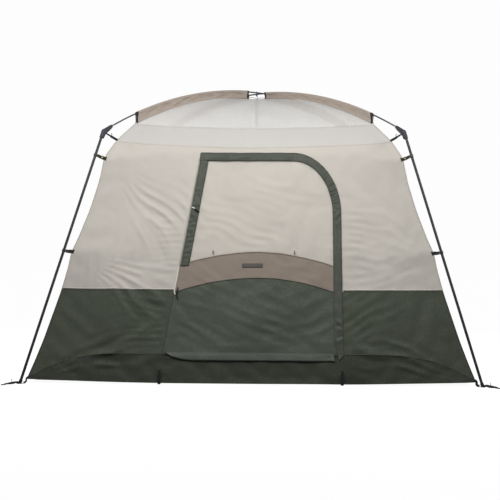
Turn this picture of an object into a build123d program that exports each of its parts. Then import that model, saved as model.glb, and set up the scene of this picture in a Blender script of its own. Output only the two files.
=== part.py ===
from build123d import *
import math
import os

# A cabin-style family tent with its fly off. Origin: centre of the floor's underside. +Z is up and the
# door faces -Y. Millimetres.

# ---- driving dimensions ----
BASE_HALF = 1524  # half of a 10 ft square floor
WALL_LEAN = math.radians(16.4)  # each wall leans inwards
TUB_TOP = 190  # top of the bathtub floor's side
SEAM_Z = 635  # seam between the green and the beige wall
WALL_TOP = 1620  # top of the flat part of a wall
SHOULDER = (986, 1709)  # half-width and height where the top band bends
EAVE = (867, 1840)  # half-width and height of the roof mesh's edge
ROOF_APEX = 2112
ROOF_STRIPS = 4
FABRIC = 1.5  # thickness that stands in for the cloth
FLOOR_INSET = 4
ROOT2 = math.sqrt(2)

FOOT_S = 1573 * ROOT2  # distances S are from the tent's centre, along a diagonal
ELBOW_S, ELBOW_Z = 1089 * ROOT2, 1719  # where a leg enters its elbow
LEG_RADIUS, LEG_BORE = 9.5, 8.5
SPIGOT_RADIUS, SPIGOT_BORE, SPIGOT_LENGTH = 8.3, 7.2, 60
LEG_JOINT = 0.5  # share of the leg's height where its two tubes meet
LEG_IN_ELBOW = 38
FOOT_RADIUS, FOOT_HEIGHT = 12, 26

TIP_S, TIP_Z = 1447, 1807  # where a roof pole leaves its elbow
BEND_S, BEND_Z = 1521, 1768  # where the elbow bends
POLE_RADIUS = 5.5
POLE_APEX = {"a": 2166, "b": 2154}  # pole a crosses over pole b
POLE_JOINT_S = 480
POLE_IN_ELBOW = 24

SLEEVE_START, SLEEVE_END = 95, 1223
SLEEVE_BORE, SLEEVE_RADIUS = 7.5, 9

DOOR_SILL = TUB_TOP
DOOR_TOP = 1585
HINGE_LOW, HINGE_HIGH = (-607, DOOR_SILL), (-381, DOOR_TOP)
DOOR_RIGHT_LOW, DOOR_RIGHT_HIGH = (606, DOOR_SILL), (596, 1180)
ARC_START_X = 284
LEAF_GAP = 3
FLAP_HALF = 30  # the storm flap reaches this far each side of the zip
FLAP_OUT = (8, 9.5)  # the flaps stand this far out from the wall
HINGE_CLEAR = 22  # what stands out stays this far from the hinge line
BAND_MIDDLE_X, BAND_REACH = 30, 575
BAND_LOW = (617, 725)  # height of the tan band's lower edge at its ends and middle
BAND_HIGH = (795, 905)
COVER_HINGE_Z = 920
COVER_DEPTH = (-6.5, -5)  # the window covers lie this far inside the wall
COVER_INSET = 20

WINDOW_LOW, WINDOW_HIGH = 800, 1380
WINDOW_HALF_LOW, WINDOW_HALF_HIGH = 470, 400
WINDOW_CORNER = 90
COVER_MARGIN = 12

UPPER_CLIP_Z, UPPER_STRAP_Z = 1592, 1570
LOWER_CLIP_Z, LOWER_STRAP_Z = 910, 903
EAR_S, EAR_Z, EAR_RADIUS, EAR_HOLE = 1494, 1752, 8, 3.5
EYELET_S, EYELET_RADIUS, EYELET_BORE, EYELET_HEIGHT = 2360, 13, 5, 5
STAKE_LOOP_X = 625
SLIDER_OUT = (0.4, 6.4)
FAR = 2600  # longer than anything here

SIDES = {"front": 0, "right": 90, "rear": 180, "left": -90}
CORNERS = {"front_right": -45, "front_left": -135, "rear_left": 135, "rear_right": 45}
POLE_OF = {"front_right": "b", "front_left": "a", "rear_left": "b", "rear_right": "a"}
BASE = (Align.CENTER, Align.CENTER, Align.MIN)


def save(name, shape):
    """One node: a solid, or a group of them."""
    solids = list(shape.solids())
    for solid in solids:
        solid.label = name
    whole = solids[0] if len(solids) == 1 else Compound(children=solids, label=name)
    export_step(whole, f"parts/{name}.step")


def group(shapes):
    """Separate solids that belong to one node."""
    return Compound(children=[solid for shape in shapes for solid in shape.solids()])


# ---- helpers ----
def half_width(z):
    """The flat wall's half-width at a height."""
    return BASE_HALF - z * math.tan(WALL_LEAN)


def hinge_x(z):
    """Where the door's slanting hinge line is at a height."""
    slope = (HINGE_HIGH[0] - HINGE_LOW[0]) / (HINGE_HIGH[1] - HINGE_LOW[1])
    return HINGE_LOW[0] + slope * (z - HINGE_LOW[1])


def leg_s(z):
    """A leg's distance from the tent's centre at a height."""
    return FOOT_S + (ELBOW_S - FOOT_S) * z / ELBOW_Z


def level(low, high):
    """Everything between two heights."""
    return Pos(0, 0, low) * Box(2 * FAR, 2 * FAR, high - low, align=BASE)


def prism(outline):
    """An outline in X and Z, carried through the front of the tent along Y."""
    return extrude(Plane.XZ * outline, amount=FAR)


def front_layer(low, high):
    """A flat layer along the front wall, between two distances out from its outer face."""
    normal = (0, -math.cos(WALL_LEAN), math.sin(WALL_LEAN))
    wall = Plane(origin=(0, -BASE_HALF, 0), x_dir=(1, 0, 0), z_dir=normal)
    return wall * (Pos(0, 0, low) * Box(2 * FAR, 2 * FAR, high - low, align=BASE))


def to_side(shape, side):
    return Rot(0, 0, SIDES[side]) * shape


def on_corner(shape, corner):
    """From the plane Y = 0, where X is the distance S, to a corner's diagonal."""
    return Rot(0, 0, CORNERS[corner]) * shape


def on_corners(shape):
    return group([on_corner(shape, corner) for corner in CORNERS])


def rod(start, end, radius):
    """A round rod between two points."""
    axis = Vector(*end) - Vector(*start)
    return Plane(origin=start, z_dir=axis) * Cylinder(radius, axis.length, align=BASE)


def tube(start, end, radius, bore):
    return rod(start, end, radius) - rod(start, end, bore)


def strap(start, end, width, thick):
    """A flat strap in the plane Y = 0, between two (S, Z) points."""
    (s0, z0), (s1, z1) = start, end
    length = math.hypot(s1 - s0, z1 - z0)
    plane = Plane(origin=(s0, 0, z0), x_dir=(0, 1, 0), z_dir=(s1 - s0, 0, z1 - z0))
    return plane * Box(width, thick, length, align=BASE)


def webbing_loop(width, depth, height, thick):
    """A standing loop of webbing, its eye along X, with its foot at the origin."""
    outside = Rot(0, 0, 90) * SlotOverall(height, depth)
    inside = Rot(0, 0, 90) * SlotOverall(height - 2 * thick, depth - 2 * thick)
    return Pos(0, 0, height / 2) * extrude(Plane.YZ * (outside - inside), amount=width / 2, both=True)


# ---- the shell: one side from the ground to the apex, cut into bands ----
def roof_height(s):
    """Height of the roof's ridge at a distance along the diagonal."""
    span, rise = EAVE[0] * ROOT2, ROOF_APEX - EAVE[1]
    radius = (span**2 + rise**2) / (2 * rise)
    return ROOF_APEX - radius + math.sqrt(radius**2 - s**2)


def shell_profile():
    points = [(BASE_HALF, 0), (half_width(WALL_TOP), WALL_TOP), SHOULDER]
    for k in range(ROOF_STRIPS + 1):
        t = EAVE[0] * (1 - k / ROOF_STRIPS)
        points.append((t, roof_height(t * ROOT2)))
    return points


def inner_profile(points):
    """The profile moved inwards by the cloth's thickness, mitred at its corners."""
    normals = []
    for (t0, z0), (t1, z1) in zip(points, points[1:]):
        length = math.hypot(t1 - t0, z1 - z0)
        normals.append(((z0 - z1) / length, (t1 - t0) / length))
    moved = [(points[0][0] + FABRIC / normals[0][0], 0)]
    for (t, z), (a0, b0), (a1, b1) in zip(points[1:-1], normals, normals[1:]):
        share = FABRIC / (1 + a0 * a1 + b0 * b1)
        moved.append((t + share * (a0 + a1), z + share * (b0 + b1)))
    moved.append((0, points[-1][1] + FABRIC / normals[-1][1]))
    return moved


def side_shell():
    outer = shell_profile()
    outline = [(-t, z) for t, z in outer + inner_profile(outer)[::-1]]
    sheet = extrude(Plane.YZ * Polygon(*outline, align=None), amount=FAR, both=True)
    wedge = extrude(Polygon((0, 0), (-FAR, -FAR), (FAR, -FAR), align=None), amount=FAR)
    return sheet & wedge


def window_outline(grow):
    low, high = WINDOW_LOW, WINDOW_HIGH
    corners = [
        (-WINDOW_HALF_LOW, low),
        (WINDOW_HALF_LOW, low),
        (WINDOW_HALF_HIGH, high),
        (-WINDOW_HALF_HIGH, high),
    ]
    plain = Polygon(*corners, align=None)
    return offset(fillet(plain.vertices(), WINDOW_CORNER), grow)


def shell_parts():
    side = side_shell()
    tub = side & level(0, TUB_TOP)
    lower = side & level(TUB_TOP, SEAM_Z)
    upper = side & level(SEAM_Z, WALL_TOP)
    band = side & level(WALL_TOP, EAVE[1])
    roof = side & level(EAVE[1], ROOF_APEX)

    floor_half = BASE_HALF - FLOOR_INSET
    save("floor", Box(2 * floor_half, 2 * floor_half, FABRIC, align=BASE))
    save("bathtub_walls", group([to_side(tub, s) for s in SIDES]))
    save("top_band", group([to_side(band, s) for s in SIDES]))
    save("roof_mesh", group([to_side(roof, s) for s in SIDES]))

    doorway = prism(doorway_outline())
    left_half = Pos(-FAR, 0, 0) * Box(2 * FAR, 2 * FAR, FAR, align=BASE)
    open_lower, open_upper = lower - doorway, upper - doorway
    save("front_lower_left_wall", open_lower & left_half)
    save("front_lower_right_wall", open_lower - left_half)
    header_x = (HINGE_HIGH[0] + DOOR_RIGHT_HIGH[0]) / 2
    header_width = DOOR_RIGHT_HIGH[0] - HINGE_HIGH[0]
    header_low = DOOR_RIGHT_HIGH[1]
    header = Pos(header_x, -BASE_HALF / 2, header_low) * Box(header_width, BASE_HALF, FAR, align=BASE)
    left_of_header = Pos(HINGE_HIGH[0] - FAR, 0, 0) * Box(2 * FAR, 2 * FAR, FAR, align=BASE)
    right_of_header = Pos(DOOR_RIGHT_HIGH[0] + FAR, 0, 0) * Box(2 * FAR, 2 * FAR, FAR, align=BASE)
    save("front_header", open_upper & header)
    save("front_upper_left_wall", open_upper & left_of_header)
    save("front_upper_right_wall", open_upper & right_of_header)

    hole = prism(window_outline(0))
    mesh = upper & prism(window_outline(-0.5))
    cover_outline = window_outline(COVER_MARGIN) & Pos(0, WINDOW_LOW + 2) * Rectangle(
        2 * FAR, FAR, align=(Align.CENTER, Align.MIN)
    )
    cover = front_layer(*COVER_DEPTH) & prism(cover_outline)
    windowed = upper - hole
    for name in ("rear", "left", "right"):
        save(f"{name}_lower_wall", to_side(lower, name))
        save(f"{name}_upper_wall", to_side(windowed, name))
        save(f"{name}_window_cover", to_side(cover, name))
    save("window_meshes", group([to_side(mesh, s) for s in ("rear", "left", "right")]))
    save("lantern_loop", Pos(0, 0, 1900) * webbing_loop(26, 16, 207, 2))


# ---- the door ----
def doorway_outline(grow=0):
    """The doorway's outline, moved outwards by grow."""
    low, high, side = DOOR_SILL - grow, DOOR_TOP + grow, DOOR_RIGHT_HIGH[0] + grow
    right_low = (DOOR_RIGHT_LOW[0] + grow, low)
    right_high = (side, DOOR_RIGHT_HIGH[1])
    reach_x, reach_z = side - ARC_START_X, high - DOOR_RIGHT_HIGH[1]
    round_share = 0.55
    arc = Bezier(
        right_high,
        (side, DOOR_RIGHT_HIGH[1] + round_share * reach_z),
        (ARC_START_X + round_share * reach_x, high),
        (ARC_START_X, high),
    )
    hinge_low, hinge_high = (hinge_x(low) - grow, low), (hinge_x(high) - grow, high)
    straight = Polyline((ARC_START_X, high), hinge_high, hinge_low, right_low, right_high)
    return make_face(straight + arc)


def below_arch(ends, middle):
    """Everything on the door that is below an arched line."""
    left, right = BAND_MIDDLE_X - BAND_REACH, BAND_MIDDLE_X + BAND_REACH
    beyond = 200
    arch = ThreePointArc((right, ends), (BAND_MIDDLE_X, middle), (left, ends))
    rest = Polyline(
        (left, ends),
        (left - beyond, ends),
        (left - beyond, 0),
        (right + beyond, 0),
        (right + beyond, ends),
        (right, ends),
    )
    return prism(make_face(arch + rest))


def strip_beside_hinge(near, far, low, high):
    """A strip of the door between two distances from the hinge line, and between two heights."""
    corners = [(hinge_x(z) + x, z) for x, z in ((near, low), (far, low), (far, high), (near, high))]
    return Polygon(*corners, align=None)


def slider(x, z, width, height):
    """A zip slider with its pull hanging from it, on the door's outer face."""
    body = front_layer(*SLIDER_OUT) & prism(Pos(x, z) * RectangleRounded(width, height, 2))
    pull_z = z - height / 2 - 12
    pull = front_layer(2.4, 4.4) & prism(Pos(x, pull_z) * RectangleRounded(5, 26, 2))
    return body + pull


def door_parts():
    leaf = front_layer(-FABRIC, 0) & prism(doorway_outline(-LEAF_GAP))
    under_band, under_window = below_arch(*BAND_LOW), below_arch(*BAND_HIGH)
    save("door_lower_panel", leaf & under_band)
    save("door_band", (leaf & under_window) - under_band)
    save("door_window_mesh", leaf - under_window)

    above_hinge = Pos(0, COVER_HINGE_Z) * Rectangle(2 * FAR, FAR, align=(Align.CENTER, Align.MIN))
    cover = doorway_outline(-COVER_INSET) & above_hinge
    save("door_window_cover", front_layer(*COVER_DEPTH) & prism(cover))

    flap_layer = front_layer(*FLAP_OUT)
    ring = doorway_outline(FLAP_HALF) - doorway_outline(-FLAP_HALF)
    clear_of_hinge = strip_beside_hinge(HINGE_CLEAR, FAR, 0, FAR / 1.3)
    left_flap = strip_beside_hinge(HINGE_CLEAR, HINGE_CLEAR + 36, BAND_HIGH[0], DOOR_TOP - FLAP_HALF - 1)
    above = Pos(0, DOOR_RIGHT_HIGH[1] + 1) * Rectangle(2 * FAR, FAR, align=(Align.CENTER, Align.MIN))
    low = DOOR_SILL + 26
    both_min = (Align.MIN, Align.MIN)
    right_part = Pos(0, low) * Rectangle(FAR, DOOR_RIGHT_HIGH[1] - low, align=both_min)
    not_left = Rectangle(FAR, FAR, align=both_min)
    not_left += Pos(-FAR, DOOR_TOP - FLAP_HALF) * Rectangle(FAR, FAR, align=both_min)
    top_shape = ring & above & clear_of_hinge & not_left
    bottom_shape = Polygon((-575, 213), (-430, 158), (566, 155), (566, 213), align=None)
    save("storm_flap_top", flap_layer & prism(top_shape))
    save("storm_flap_right", flap_layer & prism(ring & right_part))
    save("storm_flap_left", flap_layer & prism(left_flap))
    save("storm_flap_bottom", flap_layer & prism(bottom_shape))

    save("door_zip_slider", slider(DOOR_RIGHT_LOW[0], 262, 10, 16))
    save("sill_zip_slider", front_layer(*SLIDER_OUT) & prism(Pos(540, DOOR_SILL) * RectangleRounded(16, 10, 2)))
    save("window_zip_slider", slider(HINGE_LOW[0] + 92, 650, 9, 16))

    window_toggles = [toggle(x, 903, 3) for x in (-273, 298)]
    save("door_toggles", group(window_toggles + [toggle(-395, 1200, 11)]))


def toggle(x, z, out):
    """A small barrel toggle that stands off the door."""
    wall = front_layer(out, out + 8)
    return wall & prism(Pos(x, z) * RectangleRounded(8, 26, 3.5))


# ---- the frame ----
def leg_parts():
    foot, top = (FOOT_S, 0, 0), (ELBOW_S, 0, ELBOW_Z)
    axis = (Vector(*top) - Vector(*foot)).normalized()

    def along(z, extra=0):
        point = Vector(leg_s(z), 0, z) + axis * extra
        return (point.X, 0, point.Z)

    joint = LEG_JOINT * ELBOW_Z
    start, middle, end = along(6), along(joint), along(ELBOW_Z, LEG_IN_ELBOW)
    swage = along(joint, -20)
    lower = rod(start, middle, LEG_RADIUS) + rod(middle, along(joint, SPIGOT_LENGTH), SPIGOT_RADIUS)
    lower = lower - rod(start, swage, LEG_BORE) - rod(swage, along(joint, SPIGOT_LENGTH), SPIGOT_BORE)
    upper = tube(along(joint, 0.3), end, LEG_RADIUS, LEG_BORE)
    foot_cup = rod(along(0, -20), along(FOOT_HEIGHT), FOOT_RADIUS) & level(0, FAR)
    foot_cup -= rod(along(6, -0.3), along(FOOT_HEIGHT, 1), LEG_RADIUS + 0.2)
    for corner in CORNERS:
        save(f"lower_leg_{corner}", on_corner(lower, corner))
        save(f"upper_leg_{corner}", on_corner(upper, corner))
    save("leg_feet", on_corners(foot_cup))

    def clip(z):
        collar = tube(along(z, -9), along(z, 9), 12.5, LEG_RADIUS + 0.2)
        lug = Pos(leg_s(z) - 17, 0, z - 2) * (Rot(90, 0, 0) * (Cylinder(7, 6) - Cylinder(3, 6)))
        return collar + (lug - rod(along(z, -30), along(z, 30), 12))

    save("leg_clips", group([on_corners(clip(z)) for z in (UPPER_CLIP_Z, LOWER_CLIP_Z)]))
    straps, beads = [], []
    for clip_z, wall_z in ((UPPER_CLIP_Z, UPPER_STRAP_Z), (LOWER_CLIP_Z, LOWER_STRAP_Z)):
        near, far = (leg_s(clip_z) - 26, clip_z - 4), (half_width(wall_z) * ROOT2 + 3, wall_z)
        straps.append(on_corners(strap(near, far, 12, 2)))
    middle_s = (leg_s(UPPER_CLIP_Z) - 26 + half_width(UPPER_STRAP_Z) * ROOT2 + 3) / 2
    bead_z = (UPPER_CLIP_Z + UPPER_STRAP_Z) / 2 + 2.4
    beads.append(on_corners(Pos(middle_s, 0, bead_z) * Cylinder(4, 3)))
    save("clip_straps", group(straps))
    save("strap_beads", group(beads))


def pole_circle(apex):
    """(radius, height of the centre) of the arc that a roof pole bends to."""
    rise = apex - TIP_Z
    radius = (TIP_S**2 + rise**2) / (2 * rise)
    return radius, apex - radius


def arc_tube(apex, start_s, end_s, radius, bore=0):
    """A tube along a roof pole's arc, between two distances from the centre."""
    bend, centre = pole_circle(apex)
    first, last = (math.degrees(math.asin(s / bend)) for s in (start_s, end_s))
    axis = Axis((0, 0, centre), (0, 1, 0))
    section = Circle(radius) - Circle(bore) if bore else Circle(radius)
    section = Plane(origin=(0, 0, apex), x_dir=(0, 1, 0), z_dir=(1, 0, 0)) * section
    return revolve(section, axis, last - first).rotate(axis, first)


def pole_end(apex):
    """(tip, direction towards the leg) of a roof pole in the plane Y = 0."""
    bend, centre = pole_circle(apex)
    direction = Vector(TIP_Z - centre, 0, -TIP_S).normalized()
    return Vector(TIP_S, 0, TIP_Z), direction


def elbow(apex):
    tip, out = pole_end(apex)
    bend_point = (BEND_S, 0, BEND_Z)
    arm_tip = (tip.X, 0, tip.Z)
    socket_end = (ELBOW_S, 0, ELBOW_Z)
    body = rod(socket_end, bend_point, 14) + rod(arm_tip, bend_point, 12)
    body += Pos(*bend_point) * Sphere(14)
    web = Polygon((TIP_S + 8, TIP_Z - 14), (BEND_S, BEND_Z), (ELBOW_S - 8, ELBOW_Z + 4), align=None)
    body += extrude(Plane.XZ * web, amount=3, both=True)
    body += Pos(EAR_S, 0, EAR_Z) * (Rot(90, 0, 0) * Cylinder(EAR_RADIUS, 6))
    body -= Pos(EAR_S, 0, EAR_Z) * (Rot(90, 0, 0) * Cylinder(EAR_HOLE, 30))
    leg_axis = (Vector(ELBOW_S, 0, ELBOW_Z) - Vector(FOOT_S, 0, 0)).normalized()
    below = Vector(ELBOW_S, 0, ELBOW_Z) - leg_axis * 20
    inside = Vector(ELBOW_S, 0, ELBOW_Z) + leg_axis * (LEG_IN_ELBOW + 0.5)
    body -= rod((below.X, 0, below.Z), (inside.X, 0, inside.Z), LEG_RADIUS + 0.2)
    mouth, end = tip - out * 20, tip + out * (POLE_IN_ELBOW + 6)
    body -= rod((mouth.X, 0, mouth.Z), (end.X, 0, end.Z), 7.3)
    return body


def roof_frame_parts():
    sleeves, end_ferrules, joint_ferrules = [], [], []
    ridge_span, ridge_rise = EAVE[0] * ROOT2, ROOF_APEX - EAVE[1]
    ridge_radius = (ridge_span**2 + ridge_rise**2) / (2 * ridge_rise)
    for corner in CORNERS:
        apex = POLE_APEX[POLE_OF[corner]]
        tip, out = pole_end(apex)
        save(f"elbow_{corner}", on_corner(elbow(apex), corner))
        back, end = tip - out * 24, tip + out * (POLE_IN_ELBOW + 4)
        ferrule = tube((back.X, 0, back.Z), (end.X, 0, end.Z), 7, 5.95)
        end_ferrules.append(on_corner(ferrule, corner))
        joint_ferrules.append(on_corner(arc_tube(apex, POLE_JOINT_S - 30, POLE_JOINT_S + 30, 6.9, 5.7), corner))

        bend, centre = pole_circle(apex)
        above_ridge = Pos(0, ROOF_APEX - ridge_radius) * Circle(ridge_radius + 1.5)
        under_pole = Pos(0, centre) * Circle(bend - SLEEVE_BORE - 0.5)
        stretch = Pos(SLEEVE_START, 1500) * Rectangle(SLEEVE_END - SLEEVE_START, 900, align=(Align.MIN, Align.MIN))
        web = extrude(Plane.XZ * ((under_pole - above_ridge) & stretch), amount=1, both=True)
        pocket = arc_tube(apex, SLEEVE_START, SLEEVE_END, SLEEVE_RADIUS, SLEEVE_BORE)
        sleeves.append(on_corner(web + pocket, corner))
    save("pole_sleeves", group(sleeves))
    save("elbow_ferrules", group(end_ferrules))
    save("pole_ferrules", group(joint_ferrules))

    for name, first in (("a", "front_left"), ("b", "front_right")):
        apex = POLE_APEX[name]
        gap = 0.5
        half = arc_tube(apex, POLE_JOINT_S + gap, TIP_S + POLE_IN_ELBOW * 0.88, POLE_RADIUS)
        middle = arc_tube(apex, -POLE_JOINT_S + gap, POLE_JOINT_S - gap, POLE_RADIUS)
        opposite = Rot(0, 0, 180) * half
        save(f"roof_pole_{name}", on_corner(group([half, middle, opposite]), first))

    crossing = (POLE_APEX["a"] + POLE_APEX["b"]) / 2
    loop = Pos(0, 0, crossing) * (Rot(0, 90, 0) * Torus(16.5, 1.8))
    tail = rod((0, 0, ROOF_APEX + 2), (0, 0, crossing - 16), 1.8)
    save("apex_tie", loop + tail)


def corner_parts():
    eave_s = SHOULDER[0] * ROOT2
    elbow_strap = strap((EAR_S - 12, EAR_Z - 5), (eave_s + 5, SHOULDER[1] + 2), 12, 2)
    save("elbow_straps", on_corners(elbow_strap))
    start = (half_width(30) * ROOT2 + 4, 30)
    save("corner_straps", on_corners(strap(start, (FOOT_S - 37, 6), 15, 2)))
    ring = Pos(FOOT_S - 26, 0, 1.8) * Torus(7, 1.6)
    pin_s = FOOT_S + 64
    pin = rod((pin_s, 0, 2.6), (pin_s, 0, 36), 2) + Pos(pin_s, 0, 2.6) * Cylinder(4, 9, align=BASE)
    save("rings_and_pins", on_corners(group([ring, pin])))
    tail_end = EYELET_S - EYELET_RADIUS - 0.5
    save("corner_tails", on_corners(strap((FOOT_S + 16, 1.2), (tail_end, 1.2), 20, 2)))
    eyelet = Pos(EYELET_S, 0, 0) * (
        Cylinder(EYELET_RADIUS, EYELET_HEIGHT, align=BASE) - Cylinder(EYELET_BORE, EYELET_HEIGHT, align=BASE)
    )
    save("stake_eyelets", on_corners(eyelet))
    loop = webbing_loop(15, 12, 95, 2)
    pair = group([Pos(x, -BASE_HALF - 8, 0) * loop for x in (-STAKE_LOOP_X, STAKE_LOOP_X)])
    save("stake_loops", group([to_side(pair, s) for s in SIDES]))


os.makedirs("parts", exist_ok=True)
shell_parts()
door_parts()
leg_parts()
roof_frame_parts()
corner_parts()
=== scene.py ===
import math

import bpy
import numpy as np
from mathutils import Matrix, Vector, geometry, kdtree
from mathutils.bvhtree import BVHTree


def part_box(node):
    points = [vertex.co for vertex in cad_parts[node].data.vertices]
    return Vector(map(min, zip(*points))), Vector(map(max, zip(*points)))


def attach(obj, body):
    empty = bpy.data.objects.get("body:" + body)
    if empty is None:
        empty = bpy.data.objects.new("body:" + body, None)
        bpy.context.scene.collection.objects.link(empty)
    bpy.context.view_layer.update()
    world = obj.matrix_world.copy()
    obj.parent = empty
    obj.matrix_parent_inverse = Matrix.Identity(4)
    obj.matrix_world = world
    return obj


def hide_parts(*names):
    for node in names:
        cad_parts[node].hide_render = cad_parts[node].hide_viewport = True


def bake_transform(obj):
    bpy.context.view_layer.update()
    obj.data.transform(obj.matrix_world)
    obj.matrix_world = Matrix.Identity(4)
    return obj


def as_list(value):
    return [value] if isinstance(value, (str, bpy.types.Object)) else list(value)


# A cabin tent with its fly off. Metres; the door faces -Y. Every side is one continuous cloth, made in the
# wall's own X and Z, simulated, then cut along its seams into the panels.

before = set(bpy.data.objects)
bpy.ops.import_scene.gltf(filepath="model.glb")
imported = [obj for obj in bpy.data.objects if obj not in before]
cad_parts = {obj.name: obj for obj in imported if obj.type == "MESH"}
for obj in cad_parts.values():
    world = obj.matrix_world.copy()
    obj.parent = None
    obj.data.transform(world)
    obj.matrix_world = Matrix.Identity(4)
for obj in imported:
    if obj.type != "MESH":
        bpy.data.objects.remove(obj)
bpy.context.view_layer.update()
scene = bpy.context.scene

# ---- the camera ----
camera = bpy.data.objects.new("camera", bpy.data.cameras.new("camera"))
scene.collection.objects.link(camera)
camera.location = (0.235, -10.97, 0.92)
camera.rotation_euler = (math.radians(90), math.radians(-0.3), math.radians(1.475))
camera.data.sensor_width = 36
camera.data.lens = 99.7
camera.data.clip_end = 200
scene.camera = camera
scene.view_settings.view_transform = "Standard"

# ---- sizes, from the frame ----
BASE_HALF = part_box("bathtub_walls")[1].x
TUB_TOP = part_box("bathtub_walls")[1].z
SEAM_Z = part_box("rear_lower_wall")[1].z
WALL_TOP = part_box("rear_upper_wall")[1].z
EAVE_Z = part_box("top_band")[1].z
EAVE_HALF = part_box("roof_mesh")[1].x
ROOF_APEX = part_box("roof_mesh")[1].z
LEAN = math.radians(16.4)
SHOULDER = (0.986, 1.709)
ROOT2 = math.sqrt(2)
DOOR_TOP = 1.585
HINGE = ((-0.607, 0.190), (-0.381, DOOR_TOP))  # X and Z of the hinge line's ends
DOOR_RIGHT = ((0.606, 0.190), (0.596, 1.180))  # and of the door's straight right edge
ARC_START_X = 0.284
BAND_MIDDLE_X, BAND_REACH = 0.030, 0.575
COVER_HINGE_Z = 0.920
WINDOW_FOOT, WINDOW_TOP, WINDOW_CORNER = (0.470, 0.800), (0.400, 1.380), 0.09  # half-width and height
SIDES = {"front": 0, "right": 90, "rear": 180, "left": -90}
CORNERS = {"front_right": -45, "front_left": -135, "rear_left": 135, "rear_right": 45}
STEP = 0.0155  # spacing of the cloth's points
SIM_STEP = 0.030  # and of the cloth that is simulated
FRAMES = 14  # of the simulation
FARTHEST = 0.045  # that the simulation may move a point
ROW_SHARE = 0.866  # height of a row of triangles over its step
THREAD_RISE = 0.0007  # of a stitch above its cloth


def hinge_x(z):
    (x0, z0), (x1, z1) = HINGE
    return x0 + (x1 - x0) * (z - z0) / (z1 - z0)


def smooth(t):
    t = np.clip(t, 0, 1)
    return t * t * (3 - 2 * t)


def swell(x, z, size, seed):
    """Smooth irregular waves of about this size, between -1 and 1."""
    rng = np.random.default_rng(seed)
    total = np.zeros_like(np.asarray(x, float))
    for k in range(7):
        angle, phase = rng.uniform(0, math.pi), rng.uniform(0, 2 * math.pi)
        stretch = rng.uniform(0.7, 1.5)
        total += np.sin((np.cos(angle) * x + np.sin(angle) * z) * 2 * math.pi * stretch / size + phase)
    return total / 3.2  # which seven waves seldom add up to


def lengths(points):
    """How far along a line each of its points is."""
    return np.concatenate([[0], np.cumsum(np.linalg.norm(np.diff(points, axis=0), axis=1))])


def directions(points):
    """The unit tangent at each point of a line."""
    ahead = np.gradient(points, axis=0)
    return ahead / np.linalg.norm(ahead, axis=1, keepdims=True)


def softened(values, reach, **padding):
    """The values, each averaged with this many on either side."""
    window = np.hanning(2 * reach + 1)
    return np.convolve(np.pad(values, reach, **padding), window / window.sum(), "valid")


# ---- the tent's profile ----
PROFILE_Z = np.linspace(0, EAVE_Z, 600)
BENDS_Z = [0, WALL_TOP, SHOULDER[1], EAVE_Z]
BENDS_T = [BASE_HALF, BASE_HALF - WALL_TOP * math.tan(LEAN), SHOULDER[0], EAVE_HALF]
PROFILE_T = softened(np.interp(PROFILE_Z, BENDS_Z, BENDS_T), 20, mode="reflect", reflect_type="odd")
PROFILE_ARC = lengths(np.stack([PROFILE_T, PROFILE_Z], -1))
# how far the corner seam stands in or out, in millimetres, pulled by the clips and straps on the leg
PULL_Z = (0.03, 0.15, 0.30, 0.62, 0.80, 0.903, 1.00, 1.20, 1.40, 1.50, 1.57, 1.64, 1.70, 1.84)
PULL_T = (14, 3, -6, -11, -3, 9, -4, -16, -13, -3, 6, -5, 2, 0)
FINE_Z = np.linspace(0, EAVE_Z, 240)
FINE_PULL = softened(np.interp(FINE_Z, PULL_Z, PULL_T), 6, mode="edge")


def profile(z):
    return np.interp(z, PROFILE_Z, PROFILE_T)


def corner_pull(z):
    return np.interp(z, FINE_Z, FINE_PULL) / 1000


def edge_x(z):
    """Half-width of a side's cloth at a height, up to its corner seam."""
    return profile(z) + corner_pull(z)


def arc_height(s, reach, low, high):
    """Height at a distance from the middle, of the arc with this top that falls to low at its reach."""
    rise = high - low
    radius = (reach**2 + rise**2) / (2 * rise)
    return high - radius + np.sqrt(radius**2 - np.asarray(s, float) ** 2)


def roof_height(s):
    return arc_height(s, EAVE_HALF * ROOT2, EAVE_Z, ROOF_APEX)


# heights of the cloth's foot, seams and eave, which all curve across a side
def bottom_z(x):
    return 0.008 + 0.020 * np.clip((np.abs(x) - 0.6) / 0.9, 0, 1) ** 1.3


def tub_z(x):
    return TUB_TOP + 0.014 - 0.152 * np.clip((np.abs(x) - 0.80) / 0.70, 0, 1) ** 3


def seam_z(x):
    return SEAM_Z - 0.003 + 0.006 * (x / 1.33) ** 2


def top_z(x):
    return 1.655 + 0.044 * (x / 0.98) ** 2


def eave_z(x):
    return EAVE_Z - 0.034 * np.clip(1 - (x / EAVE_HALF) ** 2, 0, 1)


def place(x, z, out=0.0):
    """A point of the front side, out from its smooth profile."""
    x, z = np.asarray(x, float), np.asarray(z, float)
    lean = np.interp(z, PROFILE_Z[:-1], np.diff(PROFILE_T) / np.diff(PROFILE_Z))
    length = np.sqrt(1 + lean**2)
    edge = edge_x(z)
    near = smooth((np.abs(x) / np.maximum(edge, 1e-6) - 0.55) / 0.45)
    y = -(profile(z) + corner_pull(z) * near) - out / length
    return np.stack([x + 0 * y, y, z - out * lean / length], -1)


def turned(co, side):
    a = math.radians(SIDES[side])
    c, s = math.cos(a), math.sin(a)
    return co @ np.array([[c, s, 0], [-s, c, 0], [0, 0, 1]])


# ---- outlines in X and Z ----
def closed(outline):
    """The outline with its first point again at its end."""
    return [*outline, outline[0]]


def sampled(points, step):
    """The polyline with its runs divided evenly."""
    done = [points[0]]
    for (x0, z0), (x1, z1) in zip(points, points[1:]):
        n = max(1, round(math.hypot(x1 - x0, z1 - z0) / step))
        done += [(x0 + (x1 - x0) * k / n, z0 + (z1 - z0) * k / n) for k in range(1, n + 1)]
    return done


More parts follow.
